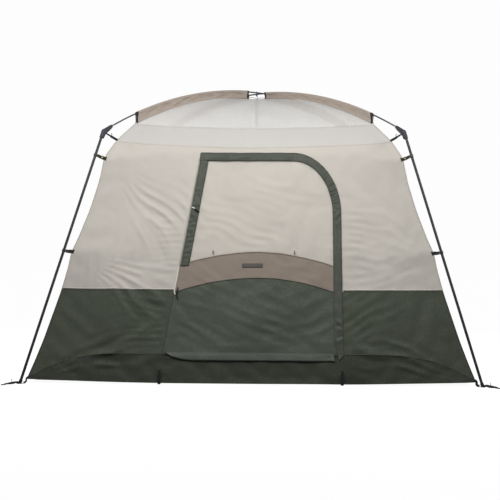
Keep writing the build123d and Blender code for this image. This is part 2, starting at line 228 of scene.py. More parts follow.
def bezier(p0, p1, p2, p3, n):
    done = []
    for k in range(n + 1):
        t = k / n
        w = ((1 - t) ** 3, 3 * t * (1 - t) ** 2, 3 * t * t * (1 - t), t**3)
        done.append(tuple(sum(wi * p[i] for wi, p in zip(w, (p0, p1, p2, p3))) for i in (0, 1)))
    return done


def doorway(grow=0.0):
    """The doorway's outline from the hinge's foot, anticlockwise."""
    low, high, side = DOOR_RIGHT[0][1] - grow, DOOR_TOP + grow, DOOR_RIGHT[1][0] + grow
    turn = DOOR_RIGHT[1][1]
    arc = bezier(
        (side, turn),
        (side, turn + 0.55 * (high - turn)),
        (ARC_START_X + 0.55 * (side - ARC_START_X), high),
        (ARC_START_X, high),
        24,
    )
    start = [(hinge_x(low) - grow, low), (DOOR_RIGHT[0][0] + grow, low)]
    return start + arc + [(hinge_x(high) - grow, high)]


def arch(ends, middle):
    """Height of an arched line across the door, as a function of x."""
    return lambda x: arc_height(
        np.clip(np.asarray(x, float) - BAND_MIDDLE_X, -BAND_REACH, BAND_REACH), BAND_REACH, ends, middle
    )


band_low, band_high = arch(0.617, 0.725), arch(0.795, 0.905)


def window_outline(grow=0.0):
    """The window's outline with rounded corners, anticlockwise."""
    (xl, low), (xh, high) = WINDOW_FOOT, WINDOW_TOP
    xl, xh, low, high = xl + grow, xh + grow, low - grow, high + grow
    corners = [Vector(p) for p in ((-xl, low), (xl, low), (xh, high), (-xh, high))]
    done = []
    for k, here in enumerate(corners):
        a, b = (
            here + (other - here).normalized() * (WINDOW_CORNER + grow * 0.5)
            for other in (corners[k - 1], corners[(k + 1) % 4])
        )
        done += bezier(tuple(a), tuple(a.lerp(here, 0.55)), tuple(b.lerp(here, 0.55)), tuple(b), 8)
    return done


def inside(x, z, outline):
    """Whether points lie inside a closed outline."""
    x, z = np.asarray(x), np.asarray(z)
    found = np.zeros(x.shape, bool)
    for (x0, z0), (x1, z1) in zip(outline, closed(outline)[1:]):
        if z0 != z1:
            crosses = (z0 > z) != (z1 > z)
            found ^= crosses & (x < (x1 - x0) * (z - z0) / (z1 - z0) + x0)
    return found


# ---- folds ----
def crest(phase):
    """A wave with narrow ridges and broad hollows, as stretched cloth has."""
    return 1.15 - 1.95 * np.abs(np.sin(phase / 2)) ** 0.8


def fan(x, z, apex, angles, reach, count, amount, seed):
    """Folds that spread from a point the cloth is pulled to."""
    dx, dz = x - apex[0], z - apex[1]
    r, angle = np.hypot(dx, dz), np.degrees(np.arctan2(dz, dx))
    low, high = angles
    share = (angle - low) / (high - low)
    r0, r1 = reach
    along = smooth((r - r0) / (0.35 * (r1 - r0))) * smooth((r1 - r) / (0.5 * (r1 - r0)))
    across = smooth(share * 4) * smooth((1 - share) * 4)
    wander = 0.35 * swell(x, z, 0.55, seed)
    uneven = 0.7 + 0.5 * swell(x, z, 0.3, seed + 1)
    wave = crest((share * count + wander) * 2 * math.pi)
    return amount * along * across * uneven * (wave + 0.25 * np.sin((share * count * 2.3 + wander) * 2 * math.pi))


def folds(x, z, middle, angle, length, width, pitch, amount, seed):
    """A patch of parallel folds, along a direction in degrees."""
    a = math.radians(angle)
    dx, dz = x - middle[0], z - middle[1]
    along = dx * math.cos(a) + dz * math.sin(a)
    across = dz * math.cos(a) - dx * math.sin(a)
    wander = 0.28 * swell(x, z, 0.45, seed)
    patch = np.exp(-((along / length) ** 2) - (across / width) ** 2)
    uneven = 0.7 + 0.6 * swell(x, z, 0.22, seed + 1)
    return amount * patch * uneven * crest((across / pitch + wander) * 2 * math.pi)


# the front's folds, in the order of the arguments of fan and folds, with heights in millimetres
FRONT_FOLDS = (
    (fan, (-1.06, 1.60), (-72, -20), (0.16, 1.02), 6.5, 7.5),
    (fan, (-1.27, 0.90), (-50, -4), (0.14, 0.86), 6, 7.5),
    (fan, (-1.065, 1.575), (-85, 35), (0.0, 0.20), 7, 2.6),
    (fan, (1.075, 1.565), (145, 265), (0.0, 0.22), 7, 2.8),
    (fan, (1.275, 0.90), (130, 215), (0.05, 0.55), 6, 1.8),
    (folds, (-0.56, 0.95), 3, 0.12, 0.26, 0.046, 4.0),
    (folds, (-1.05, 0.86), 82, 0.22, 0.22, 0.078, 3.0),
    (folds, (-0.80, 1.16), 80, 0.20, 0.16, 0.10, 3.5),
    (folds, (0.72, 0.98), -6, 0.16, 0.30, 0.055, 3.2),
    (folds, (0.88, 0.74), 18, 0.20, 0.10, 0.055, 2.6),
    (folds, (0.10, 1.625), 1, 0.45, 0.022, 0.030, 1.1),
    (folds, (-0.74, 0.35), 7, 0.18, 0.11, 0.048, 4.6),
    (folds, (-0.72, 0.54), -16, 0.17, 0.07, 0.054, 3.8),
    (folds, (-1.02, 0.30), 24, 0.20, 0.10, 0.080, 1.8),
    (folds, (0.78, 0.46), 25, 0.18, 0.14, 0.064, 4.2),
    (folds, (0.84, 0.25), 6, 0.26, 0.05, 0.060, 3.2),
    (folds, (0.08, 0.46), -24, 0.26, 0.15, 0.078, 3.6),
    (folds, (0.42, 0.45), 24, 0.14, 0.16, 0.090, 3.8),
    (folds, (-0.36, 0.44), -24, 0.18, 0.12, 0.072, 3.4),
    (folds, (0.05, 0.27), 2, 0.40, 0.03, 0.050, 1.8),
    (folds, (-0.34, 0.72), -24, 0.13, 0.09, 0.060, 2.6),
    (folds, (0.36, 0.73), -14, 0.16, 0.08, 0.055, 1.6),
    (folds, (-0.10, 1.08), -20, 0.32, 0.16, 0.066, 2.9),
    (folds, (0.10, 1.34), -14, 0.30, 0.12, 0.075, 1.9),
    (fan, (-1.53, 0.03), (2, 34), (0.08, 1.05), 3.6, 5.5),
    (fan, (1.53, 0.03), (146, 178), (0.08, 1.05), 3.6, 5.5),
)


def front_folds(x, z):
    """The folds of the front wall and its door, in millimetres."""
    out = np.zeros_like(x)
    for k, (kind, *patch) in enumerate(FRONT_FOLDS):
        out += kind(x, z, *patch, 2 * k + 1)
    return out + common_folds(x, z, 90)


def plain_folds(x, z, seed):
    """The folds of a side with a window, in millimetres."""
    rng = np.random.default_rng(seed)
    out = np.zeros_like(x)
    for sign in (-1, 1):
        top = (108, 160) if sign < 0 else (20, 72)
        down = tuple(a + 180 for a in top)
        out += fan(x, z, (sign * 1.06, 1.59), down, (0.14, 0.9), 5.5, rng.uniform(3, 5), seed + 3)
        wide = (186, 226) if sign > 0 else (-46, -6)
        out += fan(x, z, (sign * 1.27, 0.90), wide, (0.14, 0.8), 5, rng.uniform(3, 4.5), seed + 5)
        near = (120, 255) if sign > 0 else (-75, 60)
        out += fan(x, z, (sign * 1.07, 1.57), near, (0.0, 0.2), 7, 2.6, seed + 7)
        floor = (146, 178) if sign > 0 else (2, 34)
        out += fan(x, z, (sign * 1.53, 0.03), floor, (0.08, 1.0), 3.6, 5.5, seed + 9)
        out += folds(x, z, (sign * rng.uniform(0.6, 0.9), 0.42), sign * 18, 0.28, 0.16, 0.08, 4.4, seed + 11)
        out += folds(x, z, (sign * 0.60, rng.uniform(0.95, 1.1)), sign * 5, 0.14, 0.3, 0.06, 2.4, seed + 13)
    out += folds(x, z, (rng.uniform(-0.3, 0.3), 0.42), rng.uniform(-20, 20), 0.4, 0.15, 0.1, 3.6, seed + 15)
    out += folds(x, z, (rng.uniform(-0.3, 0.3), 1.50), rng.uniform(-6, 6), 0.5, 0.06, 0.08, 2.0, seed + 17)
    return out + common_folds(x, z, seed + 20)


def common_folds(x, z, seed):
    """Broad slackness, and small puckers along the sewn seams, in millimetres."""
    out = 2.2 * swell(x, z, 0.75, seed) + 0.5 * swell(x, z, 0.16, seed + 1)
    for k, (line, pitch, amount) in enumerate(((tub_z, 0.040, 1.6), (seam_z, 0.030, 0.9), (top_z, 0.026, 0.8))):
        near = np.exp(-(((z - line(x)) / 0.028) ** 2))
        rough = 0.6 + 0.6 * swell(x, z, 0.35, seed + 4 + k)
        out += amount * near * rough * np.sin(x / pitch * 2 * math.pi + 2.0 * swell(x, 0 * x, 0.3, seed + 8 + k))
    return out


def taut(x, z, side):
    """0 on the lines that hold the cloth, and 1 well away from them."""
    edge = edge_x(z) - np.abs(x)
    held = smooth(edge / 0.10) * smooth((eave_z(x) - z) / 0.05)
    held *= smooth((z - bottom_z(x)) / 0.04)
    if side == "front":
        held *= smooth(near_doorway(x, z) / 0.05)
    return held


def near_doorway(x, z):
    """Distance to the doorway's outline."""
    outline = np.array(closed(doorway()))
    best = np.full(np.shape(x), 9.0)
    for (x0, z0), (x1, z1) in zip(outline, outline[1:]):
        dx, dz = x1 - x0, z1 - z0
        share = np.clip(((x - x0) * dx + (z - z0) * dz) / (dx * dx + dz * dz), 0, 1)
        best = np.minimum(best, np.hypot(x - x0 - share * dx, z - z0 - share * dz))
    return best


# ---- one side's cloth ----
def triangulated(lines, outline, step, low, high):
    """Triangles that fill an outline and keep to the lines in it, as points in X and Z and faces."""
    drawn = [p for line in lines for p in line]
    tree = kdtree.KDTree(len(drawn))
    for k, (x, z) in enumerate(drawn):
        tree.insert((x, z, 0), k)
    tree.balance()
    points, edges, known = [], [], {}

    def index(p):
        key = (round(p[0], 5), round(p[1], 5))
        if key not in known:
            known[key] = len(points)
            points.append(Vector(p))
        return known[key]

    for line in lines:
        numbers = [index(p) for p in line]
        edges += [(a, b) for a, b in zip(numbers, numbers[1:]) if a != b]
    grid = []
    for k, z in enumerate(np.arange(low[1], high[1], step * ROW_SHARE)):
        grid += [(x, z) for x in np.arange(low[0] + step * (k % 2) / 2, high[0], step)]
    grid = np.array(grid)
    for x, z in grid[inside(*grid.T, outline)]:
        if tree.find((x, z, 0))[2] > 0.6 * step:
            points.append(Vector((x, z)))
    made = geometry.delaunay_2d_cdt(points, edges, [], 0, 1e-6)
    flat, faces = np.array([tuple(v) for v in made[0]]), np.array(made[2])
    return flat, faces[inside(*flat[faces].mean(1).T, outline)]


class Cloth:
    """A side's cloth: its points in X and Z, its triangles, and where the points are in the tent."""

    def __init__(self, side, step):
        self.side, self.step = side, step
        xb = np.linspace(-edge_x(bottom_z(BASE_HALF)), edge_x(bottom_z(BASE_HALF)), int(2 * BASE_HALF / self.step))
        bottom = [(x, float(bottom_z(x))) for x in xb]
        zc = np.linspace(bottom[-1][1], EAVE_Z, int(EAVE_Z / self.step))
        right = [(float(edge_x(z)), z) for z in zc]
        xe = np.linspace(right[-1][0], -right[-1][0], int(2 * EAVE_HALF / self.step))
        eave = [(x, float(eave_z(x))) for x in xe]
        left = [(-x, z) for x, z in reversed(right)]
        self.boundary = bottom[:-1] + right[:-1] + eave[:-1] + left[:-1]
        lines = [closed(self.boundary), *(self.across(height) for height in (tub_z, seam_z, top_z))]
        lines.append(sampled(closed(doorway() if side == "front" else window_outline()), step))
        if side == "front":
            for line in (band_low, band_high):
                xs = np.linspace(self.door_left(line), self.door_right(line), int(1.15 / step))
                lines.append([(x, float(line(x))) for x in xs])
        self.mesh(lines)

    def across(self, height):
        """A seam from corner to corner."""
        x = 1.4
        for _ in range(30):
            x = float(edge_x(height(np.array(x))))
        return [(v, float(height(v))) for v in np.linspace(-x, x, int(2 * x / self.step))]

    def door_left(self, line):
        x = -0.5
        for _ in range(20):
            x = hinge_x(float(line(x)))
        return x

    def door_right(self, line):
        (x0, z0), (x1, z1) = DOOR_RIGHT
        return x0 + (x1 - x0) * (float(line(0.6)) - z0) / (z1 - z0)

    def mesh(self, lines):
        low, high = (-BASE_HALF - self.step, 0), (BASE_HALF + self.step, EAVE_Z)
        self.flat, faces = triangulated(lines, self.boundary, self.step, low, high)
        a, b, c = (self.flat[faces[:, k]] for k in range(3))
        area = (b[:, 0] - a[:, 0]) * (c[:, 1] - a[:, 1]) - (b[:, 1] - a[:, 1]) * (c[:, 0] - a[:, 0])
        self.faces = np.where(area[:, None] < 0, faces[:, ::-1], faces)[np.abs(area) > 1e-9]
        self.middle = self.flat[self.faces].mean(1)
        self.tree = BVHTree.FromPolygons([(x, z, 0) for x, z in self.flat], self.faces.tolist())

    def shape(self, share):
        """Places the points, with this share of the folds."""
        x, z = self.flat.T
        seed = {"front": 0, "right": 200, "rear": 300, "left": 400}[self.side]
        wave = front_folds(x, z) if self.side == "front" else plain_folds(x, z, seed)
        return place(x, z, share * wave / 1000 * taut(x, z, self.side))

    def simulate(self, co):
        """Lets the cloth hang and slacken between the lines that hold it."""
        mesh = bpy.data.meshes.new("sim")
        mesh.from_pydata(co.tolist(), [], self.faces.tolist())
        obj = bpy.data.objects.new("sim", mesh)
        scene.collection.objects.link(obj)
        x, z = self.flat.T
        pins = obj.vertex_groups.new(name="pin")
        held = 1 - taut(x, z, self.side)
        for line in (tub_z, seam_z, top_z):
            near = np.exp(-(((z - line(x)) / 0.012) ** 2))
            held = np.maximum(held, near * (0.35 if line is not top_z else 0.75))
        for k in np.nonzero(held > 0.02)[0]:
            pins.add([int(k)], float(held[k]) ** 2, "REPLACE")
        cloth = obj.modifiers.new("cloth", "CLOTH")
        s = cloth.settings
        s.quality = 5
        s.mass = 0.004
        s.tension_stiffness = s.compression_stiffness = 30
        s.shear_stiffness = 12
        s.bending_stiffness = 0.08
        s.tension_damping = s.compression_damping = s.shear_damping = 12
        s.air_damping = 4
        s.vertex_group_mass = "pin"
        s.pin_stiffness = 1.0
        s.shrink_min = -0.0035
        s.effector_weights.gravity = 0.8
        cloth.collision_settings.use_collision = False
        cloth.collision_settings.use_self_collision = False
        cloth.point_cache.frame_start, cloth.point_cache.frame_end = 1, FRAMES
        for f in range(1, FRAMES + 1):
            scene.frame_set(f)
        evaluated = obj.evaluated_get(bpy.context.evaluated_depsgraph_get())
        moved = np.empty(len(co) * 3, np.float32)
        evaluated.data.vertices.foreach_get("co", moved)
        bpy.data.objects.remove(obj)
        scene.frame_set(1)
        return moved.reshape(-1, 3).astype(float)

    def settle(self):
        """Folds the cloth, and adds what the simulation of a coarser copy moves it."""
        self.co = self.shape(1.0)
        loose = Cloth(self.side, SIM_STEP)
        start = loose.shape(0.65)
        shift = loose.simulate(start) - start
        far = np.linalg.norm(shift, axis=1, keepdims=True)
        shift *= np.minimum(1, FARTHEST / np.maximum(far, 1e-9))
        near = kdtree.KDTree(len(shift))
        for k, (x, z) in enumerate(loose.flat):
            near.insert((x, z, 0), k)
        near.balance()
        for k, (x, z) in enumerate(self.flat):
            found = near.find_n((x, z, 0), 12)
            weight = np.exp(-((np.array([f[2] for f in found]) / (0.75 * SIM_STEP)) ** 2))
            self.co[k] += weight @ shift[[f[1] for f in found]] / weight.sum()
        print(self.side, "cloth moved at most", round(float(far.max()), 4))

    def at(self, x, z, out=0.0):
        """The tent's point on the cloth at X and Z, and its outward direction."""
        hit, _, face, _ = self.tree.find_nearest((x, z, 0))
        ids = self.faces[face]
        a, b, c = (Vector((*self.flat[k], 0)) for k in ids)
        pa, pb, pc = (Vector(self.co[k]) for k in ids)
        point = geometry.barycentric_transform(hit, a, b, c, pa, pb, pc)
        normal = (pb - pa).cross(pc - pa).normalized()
        if normal.y > 0:
            normal.negate()
        point = point + normal * out
        turn = Matrix.Rotation(math.radians(SIDES[self.side]), 3, "Z")
        return turn @ point, turn @ normal

    def panel(self, name, chosen):
        """One panel cut from the cloth, as a mesh object."""
        faces = self.faces[chosen]
        used, index = np.unique(faces, return_inverse=True)
        co = turned(self.co[used], self.side)
        obj = mesh_object(name, co, index.reshape(-1, 3).tolist())
        x, z = self.flat[used].T
        up = np.interp(z, PROFILE_Z, PROFILE_ARC)
        set_uv(obj, np.stack([x, up], -1))
        return obj


# ---- making meshes ----
def mesh_object(name, points, faces, smooth_shaded=True):
    mesh = bpy.data.meshes.new(name)
    mesh.from_pydata([tuple(map(float, p)) for p in points], [], faces)
    mesh.polygons.foreach_set("use_smooth", [smooth_shaded] * len(mesh.polygons))
    mesh.update()
    obj = bpy.data.objects.new(name, mesh)
    scene.collection.objects.link(obj)
    return obj


def set_uv(obj, uv):
    """UVs in metres of flat cloth, so that a weave keeps its size."""
    loops = np.empty(len(obj.data.loops), int)
    obj.data.loops.foreach_get("vertex_index", loops)
    layer = obj.data.uv_layers.get("UVMap") or obj.data.uv_layers.new(name="UVMap")
    layer.data.foreach_set("uv", np.asarray(uv, float)[loops].ravel())


def ribbon(name, rows):
    """A sheet from rows of points; its UVs are lengths along and across it."""
    rows = np.asarray(rows, float)
    n, m = rows.shape[:2]
    faces = [(a, a + m, a + m + 1, a + 1) for i in range(n - 1) for a in range(i * m, i * m + m - 1)]
    obj = mesh_object(name, rows.reshape(-1, 3), faces)
    grid = np.meshgrid(lengths(rows[:, m // 2]), lengths(rows[n // 2]), indexing="ij")
    set_uv(obj, np.stack(grid, -1).reshape(-1, 2))
    return obj


def thicken(obj, thick, offset=-1.0):
    solid = obj.modifiers.new("thickness", "SOLIDIFY")
    solid.thickness = thick
    solid.offset = offset
    solid.use_rim = True
    return obj


def frames_along(points, up):
    """Two cross directions at each point of a line, the second kept near an up direction."""
    tangent = directions(np.asarray(points, float))
    side = np.cross(tangent, np.broadcast_to(np.asarray(up, float), tangent.shape))
    side /= np.linalg.norm(side, axis=1, keepdims=True)
    return side, np.cross(side, tangent)


def swept(name, points, section, up=(0, 0, 1), loop=False):
    """A closed cross-section carried along points: (side, up) pairs, or a list of them for each point."""
    points = np.asarray(points, float)
    if loop:
        wrapped = np.concatenate([points[-1:], points, points[:1]])
        side, above = (v[1:-1] for v in frames_along(wrapped, up))
    else:
        side, above = frames_along(points, up)
    section = np.asarray(section, float)
    if section.ndim == 2:
        section = np.broadcast_to(section, (len(points), *section.shape))
    n, m = section.shape[:2]
    co = points[:, None] + section[..., :1] * side[:, None] + section[..., 1:] * above[:, None]
    faces = []
    for i in range(n if loop else n - 1):
        for j in range(m):
            a, b = i * m + j, (i + 1) % n * m + j
            k = (j + 1) % m - j
            faces.append((a, a + k, b + k, b))
    if not loop:
        faces.append(tuple(range(m))[::-1])
        faces.append(tuple(range((n - 1) * m, n * m)))
    obj = mesh_object(name, co.reshape(-1, 3), faces)
    grid = np.meshgrid(lengths(points), lengths(section[0]), indexing="ij")
    set_uv(obj, np.stack(grid, -1).reshape(-1, 2))
    return obj


def round_section(radius, sides=8):
    a = np.linspace(0, 2 * math.pi, sides, endpoint=False)
    return np.stack([radius * np.cos(a), radius * np.sin(a)], -1)


def strap_section(width, thick):
    """Flat webbing with rounded edges and shallow ribs."""
    h, t = width / 2, thick / 2
    xs = np.linspace(-h + t, h - t, 9)
    rib = 0.12 * thick * (np.arange(9) % 2)
    upper = [(x, t + r) for x, r in zip(xs, rib)]
    lower = [(x, -t - r) for x, r in zip(xs[::-1], rib[::-1])]
    return [(-h, 0), *upper, (h, 0), *lower]


def spline(points, n=8):
    """A smooth line through points."""
    points = [np.array(p, float) for p in points]
    ends = [2 * points[0] - points[1], *points, 2 * points[-1] - points[-2]]
    done = []
    for p0, p1, p2, p3 in zip(ends, ends[1:], ends[2:], ends[3:]):
        for t in np.linspace(0, 1, n, endpoint=False):
            a = 2 * p1 + (p2 - p0) * t + (2 * p0 - 5 * p1 + 4 * p2 - p3) * t * t
            done.append((a + (3 * p1 - p0 - 3 * p2 + p3) * t**3) / 2)
    done.append(points[-1])
    return np.array(done)


def stitches(name, points, normals, pitch=0.007, length=0.0045, wide=0.0011):
    """A run of thread stitches along a line, as small rounded bars."""
    run_length = lengths(points)
    at = np.arange(pitch, run_length[-1] - pitch, pitch)

    def read(values, where):
        return np.stack([np.interp(where, run_length, v) for v in np.asarray(values, float).T], -1)

    centre, normal = read(points, at), read(normals, at)
    ahead = read(points, at + length) - centre
    ahead /= np.linalg.norm(ahead, axis=1, keepdims=True) + 1e-12
    side = np.cross(ahead, normal)
    side /= np.linalg.norm(side, axis=1, keepdims=True) + 1e-12
    corners = [(-0.5, 0.5, -0.3), (-0.5, -0.5, -0.3), (0.5, -0.5, -0.3), (0.5, 0.5, -0.3)]
    corners += [(-0.34, 0.3, 1), (-0.34, -0.3, 1), (0.34, -0.3, 1), (0.34, 0.3, 1)]
    bars = [centre + a * length * ahead + b * wide * side + c * THREAD_RISE * normal for a, b, c in corners]
    box = [(4, 5, 6, 7), (0, 1, 5, 4), (1, 2, 6, 5), (2, 3, 7, 6), (3, 0, 4, 7), (3, 2, 1, 0)]
    faces = [tuple(8 * k + v for v in f) for k in range(len(at)) for f in box]
    return mesh_object(name, np.stack(bars, 1).reshape(-1, 3), faces, smooth_shaded=False)


def joined(name, objects):
    """Several meshes as one piece."""
    bpy.ops.object.select_all(action="DESELECT")
    for o in objects:
        o.select_set(True)
    bpy.context.view_layer.objects.active = objects[0]
    bpy.ops.object.join()
    objects[0].name = objects[0].data.name = name
    return objects[0]


def dressed(obj, material, body="tent", slot=None, nodes=()):
    """Gives a finished piece its material and its body."""
    obj.data.materials.clear()
    obj.data.materials.append(material)
    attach(obj, body)
    if nodes:
        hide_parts(*nodes)
    return obj


def assembled(name, objects, material, **where):
    """Several meshes as one finished piece."""
    return dressed(joined(name, objects), material, **where)


# ---- materials ----
def linear(rgb):
    """A linear colour from an 8-bit one."""
    done = []
    for c in rgb:
        c = c / 255
        done.append(c / 12.92 if c <= 0.04045 else ((c + 0.055) / 1.055) ** 2.4)
    return (*done, 1)


def shaded(colour, share, lift=0.0):
    return (*(min(1, c * share + lift) for c in colour[:3]), 1)


class Shader:
    """A material's nodes, with short ways to add them."""

    def __init__(self, name, roughness, metallic=0.0, sheen=0.0, specular=0.5):
        self.material = bpy.data.materials.new(name)
        self.material.use_nodes = True
        self.tree = self.material.node_tree
        self.bsdf = self.tree.nodes["Principled BSDF"]
        self.bsdf.inputs["Roughness"].default_value = roughness
        self.bsdf.inputs["Metallic"].default_value = metallic
        self.bsdf.inputs["Sheen Weight"].default_value = sheen
        self.bsdf.inputs["Sheen Roughness"].default_value = 0.6
        self.bsdf.inputs["Specular IOR Level"].default_value = specular
        self.coords = self.tree.nodes.new("ShaderNodeTexCoord")

    def feed(self, socket, value):
        if isinstance(value, bpy.types.NodeSocket):
            self.tree.links.new(value, socket)
        else:
            socket.default_value = value

    def add(self, kind, **inputs):
        node = self.tree.nodes.new("ShaderNode" + kind)
        for key, value in inputs.items():
            self.feed(node.inputs[key.replace("_", " ")], value)
        return node

    def noise(self, scale, detail=3.0, space="Object", roughness=0.55):
        coords = self.coords.outputs[space]
        return self.add("TexNoise", Vector=coords, Scale=scale, Detail=detail, Roughness=roughness).outputs["Fac"]

    def wave(self, pitch, axis):
        """Bands across the flat cloth; the node's own bands are 0.314 m apart at scale 1."""
        node = self.add("TexWave", Vector=self.coords.outputs["UV"], Scale=0.314 / pitch, Distortion=0.0)
        node.bands_direction = axis
        return node.outputs["Fac"]

    def mapped(self, value, low, high, from_low=0.3, from_high=0.7):
        limits = {"From_Min": from_low, "From_Max": from_high, "To_Min": low, "To_Max": high}
        return self.add("MapRange", Value=value, **limits).outputs["Result"]

    def maths(self, how, a, b):
        node = self.add("Math")
        node.operation = how
        for socket, value in zip(node.inputs, (a, b)):
            self.feed(socket, value)
        return node.outputs[0]

    def blend(self, amount, a, b):
        node = self.add("Mix")
        node.data_type = "RGBA"
        for k, value in ((0, amount), (6, a), (7, b)):
            self.feed(node.inputs[k], value)
        return node.outputs[2]

    def bump(self, height, distance, strength=1.0, before=None):
        node = self.add("Bump", Height=height, Distance=distance, Strength=strength)
        if before:
            self.feed(node.inputs["Normal"], before)
        return node.outputs["Normal"]

    def finish(self, colour, roughness=None, normal=None, alpha=None):
        for socket, value in (("Base Color", colour), ("Roughness", roughness), ("Normal", normal), ("Alpha", alpha)):
            if value is not None:
                self.feed(self.bsdf.inputs[socket], value)
        return self.material


def cloth_material(name, rgb, shade=0.86, pitch=0.0011, rough=(0.72, 0.88), crinkle=0.0006, sheen=0.08):
    """Coated tent cloth: a fine plain weave, faint crinkles, and colour that varies a little."""
    s = Shader(name, rough[1], sheen=sheen, specular=0.35)
    base = linear(rgb)
    broad = s.mapped(s.noise(2.2, 3), 0.0, 1.0)
    fine = s.mapped(s.noise(70, 4), 0.0, 1.0)
    warp, weft = s.wave(pitch, "X"), s.wave(pitch, "Y")
    weave = s.maths("MULTIPLY", warp, weft)
    threads = s.mapped(s.noise(260, 2, "UV", 0.5), -0.1, 0.1)
    tone = s.maths("MULTIPLY", broad, 0.55)
    for part, share in ((fine, 0.18), (weave, 0.22), (threads, 0.5)):
        tone = s.maths("ADD", tone, s.maths("MULTIPLY", part, share))
    colour = s.blend(tone, base, shaded(base, shade))
    normal = s.bump(s.noise(38, 3, roughness=0.45), crinkle, 0.6)
    normal = s.bump(weave, 0.00012, 0.6, normal)
    return s.finish(colour, s.mapped(fine, *rough), normal)


def net_material(name, rgb, thread, hole, pitch=0.0016):
    """Fine insect netting: alpha opens between its threads."""
    s = Shader(name, 0.8, sheen=0.1, specular=0.2)
    base = linear(rgb)
    grid = s.maths("MAXIMUM", s.wave(pitch, "X"), s.wave(pitch, "Y"))
    alpha = s.maths("ADD", s.mapped(grid, hole, thread, 0.35, 0.95), s.mapped(s.noise(3.0, 2), -0.03, 0.03))
    colour = s.blend(s.mapped(s.noise(120, 2), 0, 1), base, shaded(base, 0.8))
    return s.finish(colour, None, s.bump(grid, 0.0002, 0.5), alpha)


def webbing_material(name, rgb, pitch=0.0022):
    """Woven strap: ribs along it and fine picks across."""
    s = Shader(name, 0.8, sheen=0.15, specular=0.3)
    base = linear(rgb)
    ribs = s.maths("MULTIPLY", s.wave(pitch, "X"), s.wave(pitch * 0.7, "Y"))
    worn = s.mapped(s.noise(150, 4), 0.0, 0.5)
    light = s.maths("ADD", s.maths("MULTIPLY", ribs, 0.35), worn)
    colour = s.blend(light, base, shaded(base, 2.2, 0.01))
    return s.finish(colour, s.mapped(s.noise(90), 0.7, 0.95), s.bump(ribs, 0.0004, 0.8))


def hard_material(name, rgb, roughness=(0.35, 0.5), metallic=0.0, scale=120, depth=0.00006, shade=0.8, worn=None):
    """Moulded plastic, painted steel or bright metal, with fine grain and handling marks."""
    s = Shader(name, roughness[1], metallic=metallic)
    base = linear(rgb)
    grain = s.noise(scale, 4)
    colour = s.blend(s.mapped(grain, 0.0, 1.0), base, shaded(base, shade))
    if worn:
        marks = s.mapped(s.noise(34, 6, roughness=0.7), 0.0, 0.6, 0.62, 0.72)
        colour = s.blend(marks, colour, linear(worn))
    rough = s.mapped(s.noise(scale * 0.35, 5), *roughness)
    return s.finish(colour, rough, s.bump(grain, depth, 0.5))


BEIGE = cloth_material("beige_cloth", (206, 200, 191), shade=0.9)
BAND_BEIGE = cloth_material("band_cloth", (205, 202, 197), shade=0.93)
# SHADED_GREEN is the same green cloth as DOOR_GREEN, darkened as painted shade for the light that falls off toward
# the walls' sides; the lower walls and the green seam tapes use it
SHADED_GREEN = cloth_material("green_cloth", (71, 78, 63), shade=0.8, rough=(0.55, 0.75), sheen=0.12)
DOOR_GREEN = cloth_material("door_green_cloth", (79, 86, 73), shade=0.8, rough=(0.55, 0.75), sheen=0.12)
TUB_GREEN = cloth_material("tub_cloth", (52, 58, 44), shade=0.8, rough=(0.5, 0.7), crinkle=0.0009, sheen=0.12)
# SHADED_FLAP_GREEN is the flaps' own green, darkened a little as painted shade for the grazing light on the door's
# right flap
SHADED_FLAP_GREEN = cloth_material("flap_cloth", (74, 80, 69), shade=0.78, rough=(0.5, 0.7), crinkle=0.0014, sheen=0.12)
SILL_GREEN = cloth_material("sill_cloth", (85, 92, 83), shade=0.8, rough=(0.5, 0.7), crinkle=0.0012, sheen=0.12)
TAN = cloth_material("tan_cloth", (150, 137, 125), shade=0.86)
SLEEVE_TAN = cloth_material("sleeve_cloth", (176, 162, 150), shade=0.85, crinkle=0.0012)
COVER = cloth_material("cover_cloth", (228, 222, 212), shade=0.93)
ROOF_NET = net_material("roof_net", (254, 251, 247), thread=0.89, hole=0.40)
WINDOW_NET = net_material("window_net", (227, 222, 214), thread=0.55, hole=0.18)
FLOOR_CLOTH = cloth_material("floor_cloth", (72, 78, 68), shade=0.8)
BLACK_WEB = webbing_material("black_webbing", (18, 18, 20))
GREY_WEB = webbing_material("grey_webbing", (122, 118, 112))
BLACK_THREAD = hard_material("dark_thread", (50, 54, 48), roughness=(0.7, 0.85), scale=400)
PALE_THREAD = hard_material("pale_thread", (190, 184, 174), roughness=(0.7, 0.85), scale=400)
TAN_THREAD = hard_material("tan_thread", (128, 116, 106), roughness=(0.7, 0.85), scale=400)
PIPING_PALE = cloth_material("piping_pale", (196, 191, 181), pitch=0.0008)
PIPING_DARK = cloth_material("piping_dark", (62, 68, 58), pitch=0.0008)
EDGE_TAPE = cloth_material("edge_tape", (230, 225, 216), pitch=0.0008, shade=0.93)
STEEL = hard_material("black_steel", (34, 35, 40), roughness=(0.45, 0.6), worn=(58, 59, 65))
PLASTIC = hard_material("grey_plastic", (56, 57, 66), roughness=(0.5, 0.65), scale=300)
BLACK_PLASTIC = hard_material("black_plastic", (28, 29, 31), roughness=(0.4, 0.55), scale=300)
FIBREGLASS = hard_material("pole_fibreglass", (80, 81, 91), roughness=(0.4, 0.55), scale=220)
BRIGHT = hard_material("bright_steel", (196, 198, 202), roughness=(0.2, 0.36), metallic=0.95, scale=240)
RIVET = hard_material("dark_rivet", (84, 85, 92), roughness=(0.4, 0.5), scale=240)
YELLOW = hard_material("yellow_plastic", (236, 218, 96), roughness=(0.4, 0.5), scale=300)
GREY_TOGGLE = hard_material("toggle_plastic", (122, 124, 130), roughness=(0.38, 0.5), scale=300)
WHITE_PLASTIC = hard_material("white_plastic", (236, 236, 234), roughness=(0.35, 0.45), scale=300, shade=0.92)
ZIP_TAPE = webbing_material("zip_tape", (58, 64, 56), pitch=0.0012)
LABEL = cloth_material("label_cloth", (96, 91, 88), pitch=0.0008)

# ---- the four sides ----
cloths = {side: Cloth(side, STEP) for side in SIDES}
for cloth in cloths.values():
    cloth.settle()


